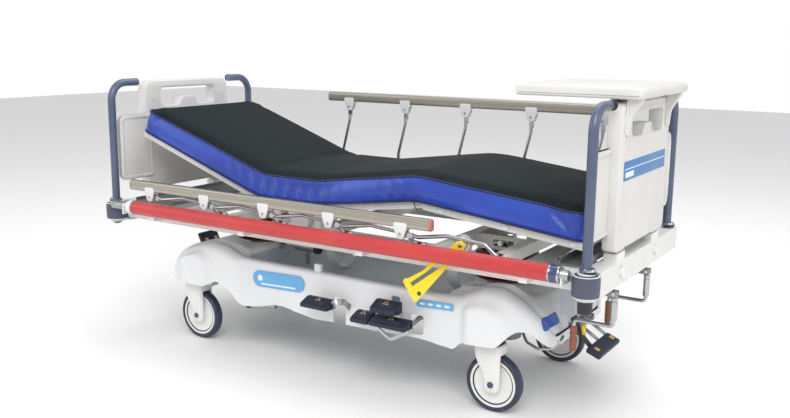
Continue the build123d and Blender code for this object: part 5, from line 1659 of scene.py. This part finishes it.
# ---------------------------------------------------------------- floor, light and camera
FLOOR_HALF = 14.0
CAMERA_AT = (1.8825, -2.8476, 1.2314)
CAMERA_TURN = (79.1, 0.53, 32.52)      # tilt up from straight down, roll, and turn about the vertical
CAMERA_LENS = 40.51


def floor():
    size = FLOOR_HALF
    mesh = bpy.data.meshes.new("floor")
    mesh.from_pydata([(-size, -size, 0), (size, -size, 0), (size, size, 0), (-size, size, 0)], [],
                     [(0, 1, 2, 3)])
    ground = bpy.data.objects.new("floor", mesh)
    bpy.context.scene.collection.objects.link(ground)
    material, nodes, links, shader = new_material("pale_floor")
    vector = place_coordinates(nodes, links, (1, 1, 1))
    cloud = speckle(nodes, links, vector, 0.8)
    links.new(mixed(nodes, links, cloud, (0.95, 0.95, 0.95), (0.92, 0.92, 0.92)), shader.inputs["Base Color"])
    shader.inputs["Roughness"].default_value = 0.7
    mesh.materials.append(material)


def soft_light(name, place, aim, size, power):
    data = bpy.data.lights.new(name, "AREA")
    data.shape, data.size, data.energy = "SQUARE", size, power
    lamp = bpy.data.objects.new(name, data)
    lamp.location = place
    lamp.rotation_euler = (Vector(aim) - Vector(place)).to_track_quat("-Z", "Y").to_euler()
    bpy.context.scene.collection.objects.link(lamp)


def studio():
    world = bpy.data.worlds.new("studio")
    world.use_nodes = True
    nodes, links = world.node_tree.nodes, world.node_tree.links
    back = nodes["Background"]
    back.inputs["Color"].default_value = (1, 1, 1, 1)
    seen = nodes.new("ShaderNodeLightPath").outputs["Is Camera Ray"]
    links.new(between(nodes, links, seen, 0.0, 1.0, 0.7, 1.0), back.inputs["Strength"])
    bpy.context.scene.world = world
    bpy.context.scene.view_settings.view_transform = "Standard"
    soft_light("key_light", (2.2, -3.6, 4.2), (0, 0, 0.6), 3.0, 150)
    soft_light("fill_light", (-4.2, -3.0, 2.6), (0, 0, 0.5), 3.0, 38)
    soft_light("top_light", (0.0, 1.5, 4.8), (0, 0, 0.6), 4.0, 85)
    soft_light("side_light", (4.6, 0.6, 2.2), (0.4, 0, 0.6), 2.4, 27)


def camera():
    data = bpy.data.cameras.new("camera")
    data.sensor_width, data.lens = 36.0, CAMERA_LENS
    data.clip_start, data.clip_end = 0.05, 60.0
    eye = bpy.data.objects.new("camera", data)
    tilt, roll, around = (radians(angle) for angle in CAMERA_TURN)
    turn = Matrix.Rotation(around, 4, "Z") @ Matrix.Rotation(tilt, 4, "X") @ Matrix.Rotation(roll, 4, "Z")
    eye.matrix_world = Matrix.Translation(CAMERA_AT) @ turn
    bpy.context.scene.collection.objects.link(eye)
    bpy.context.scene.camera = eye


floor()
studio()
camera()
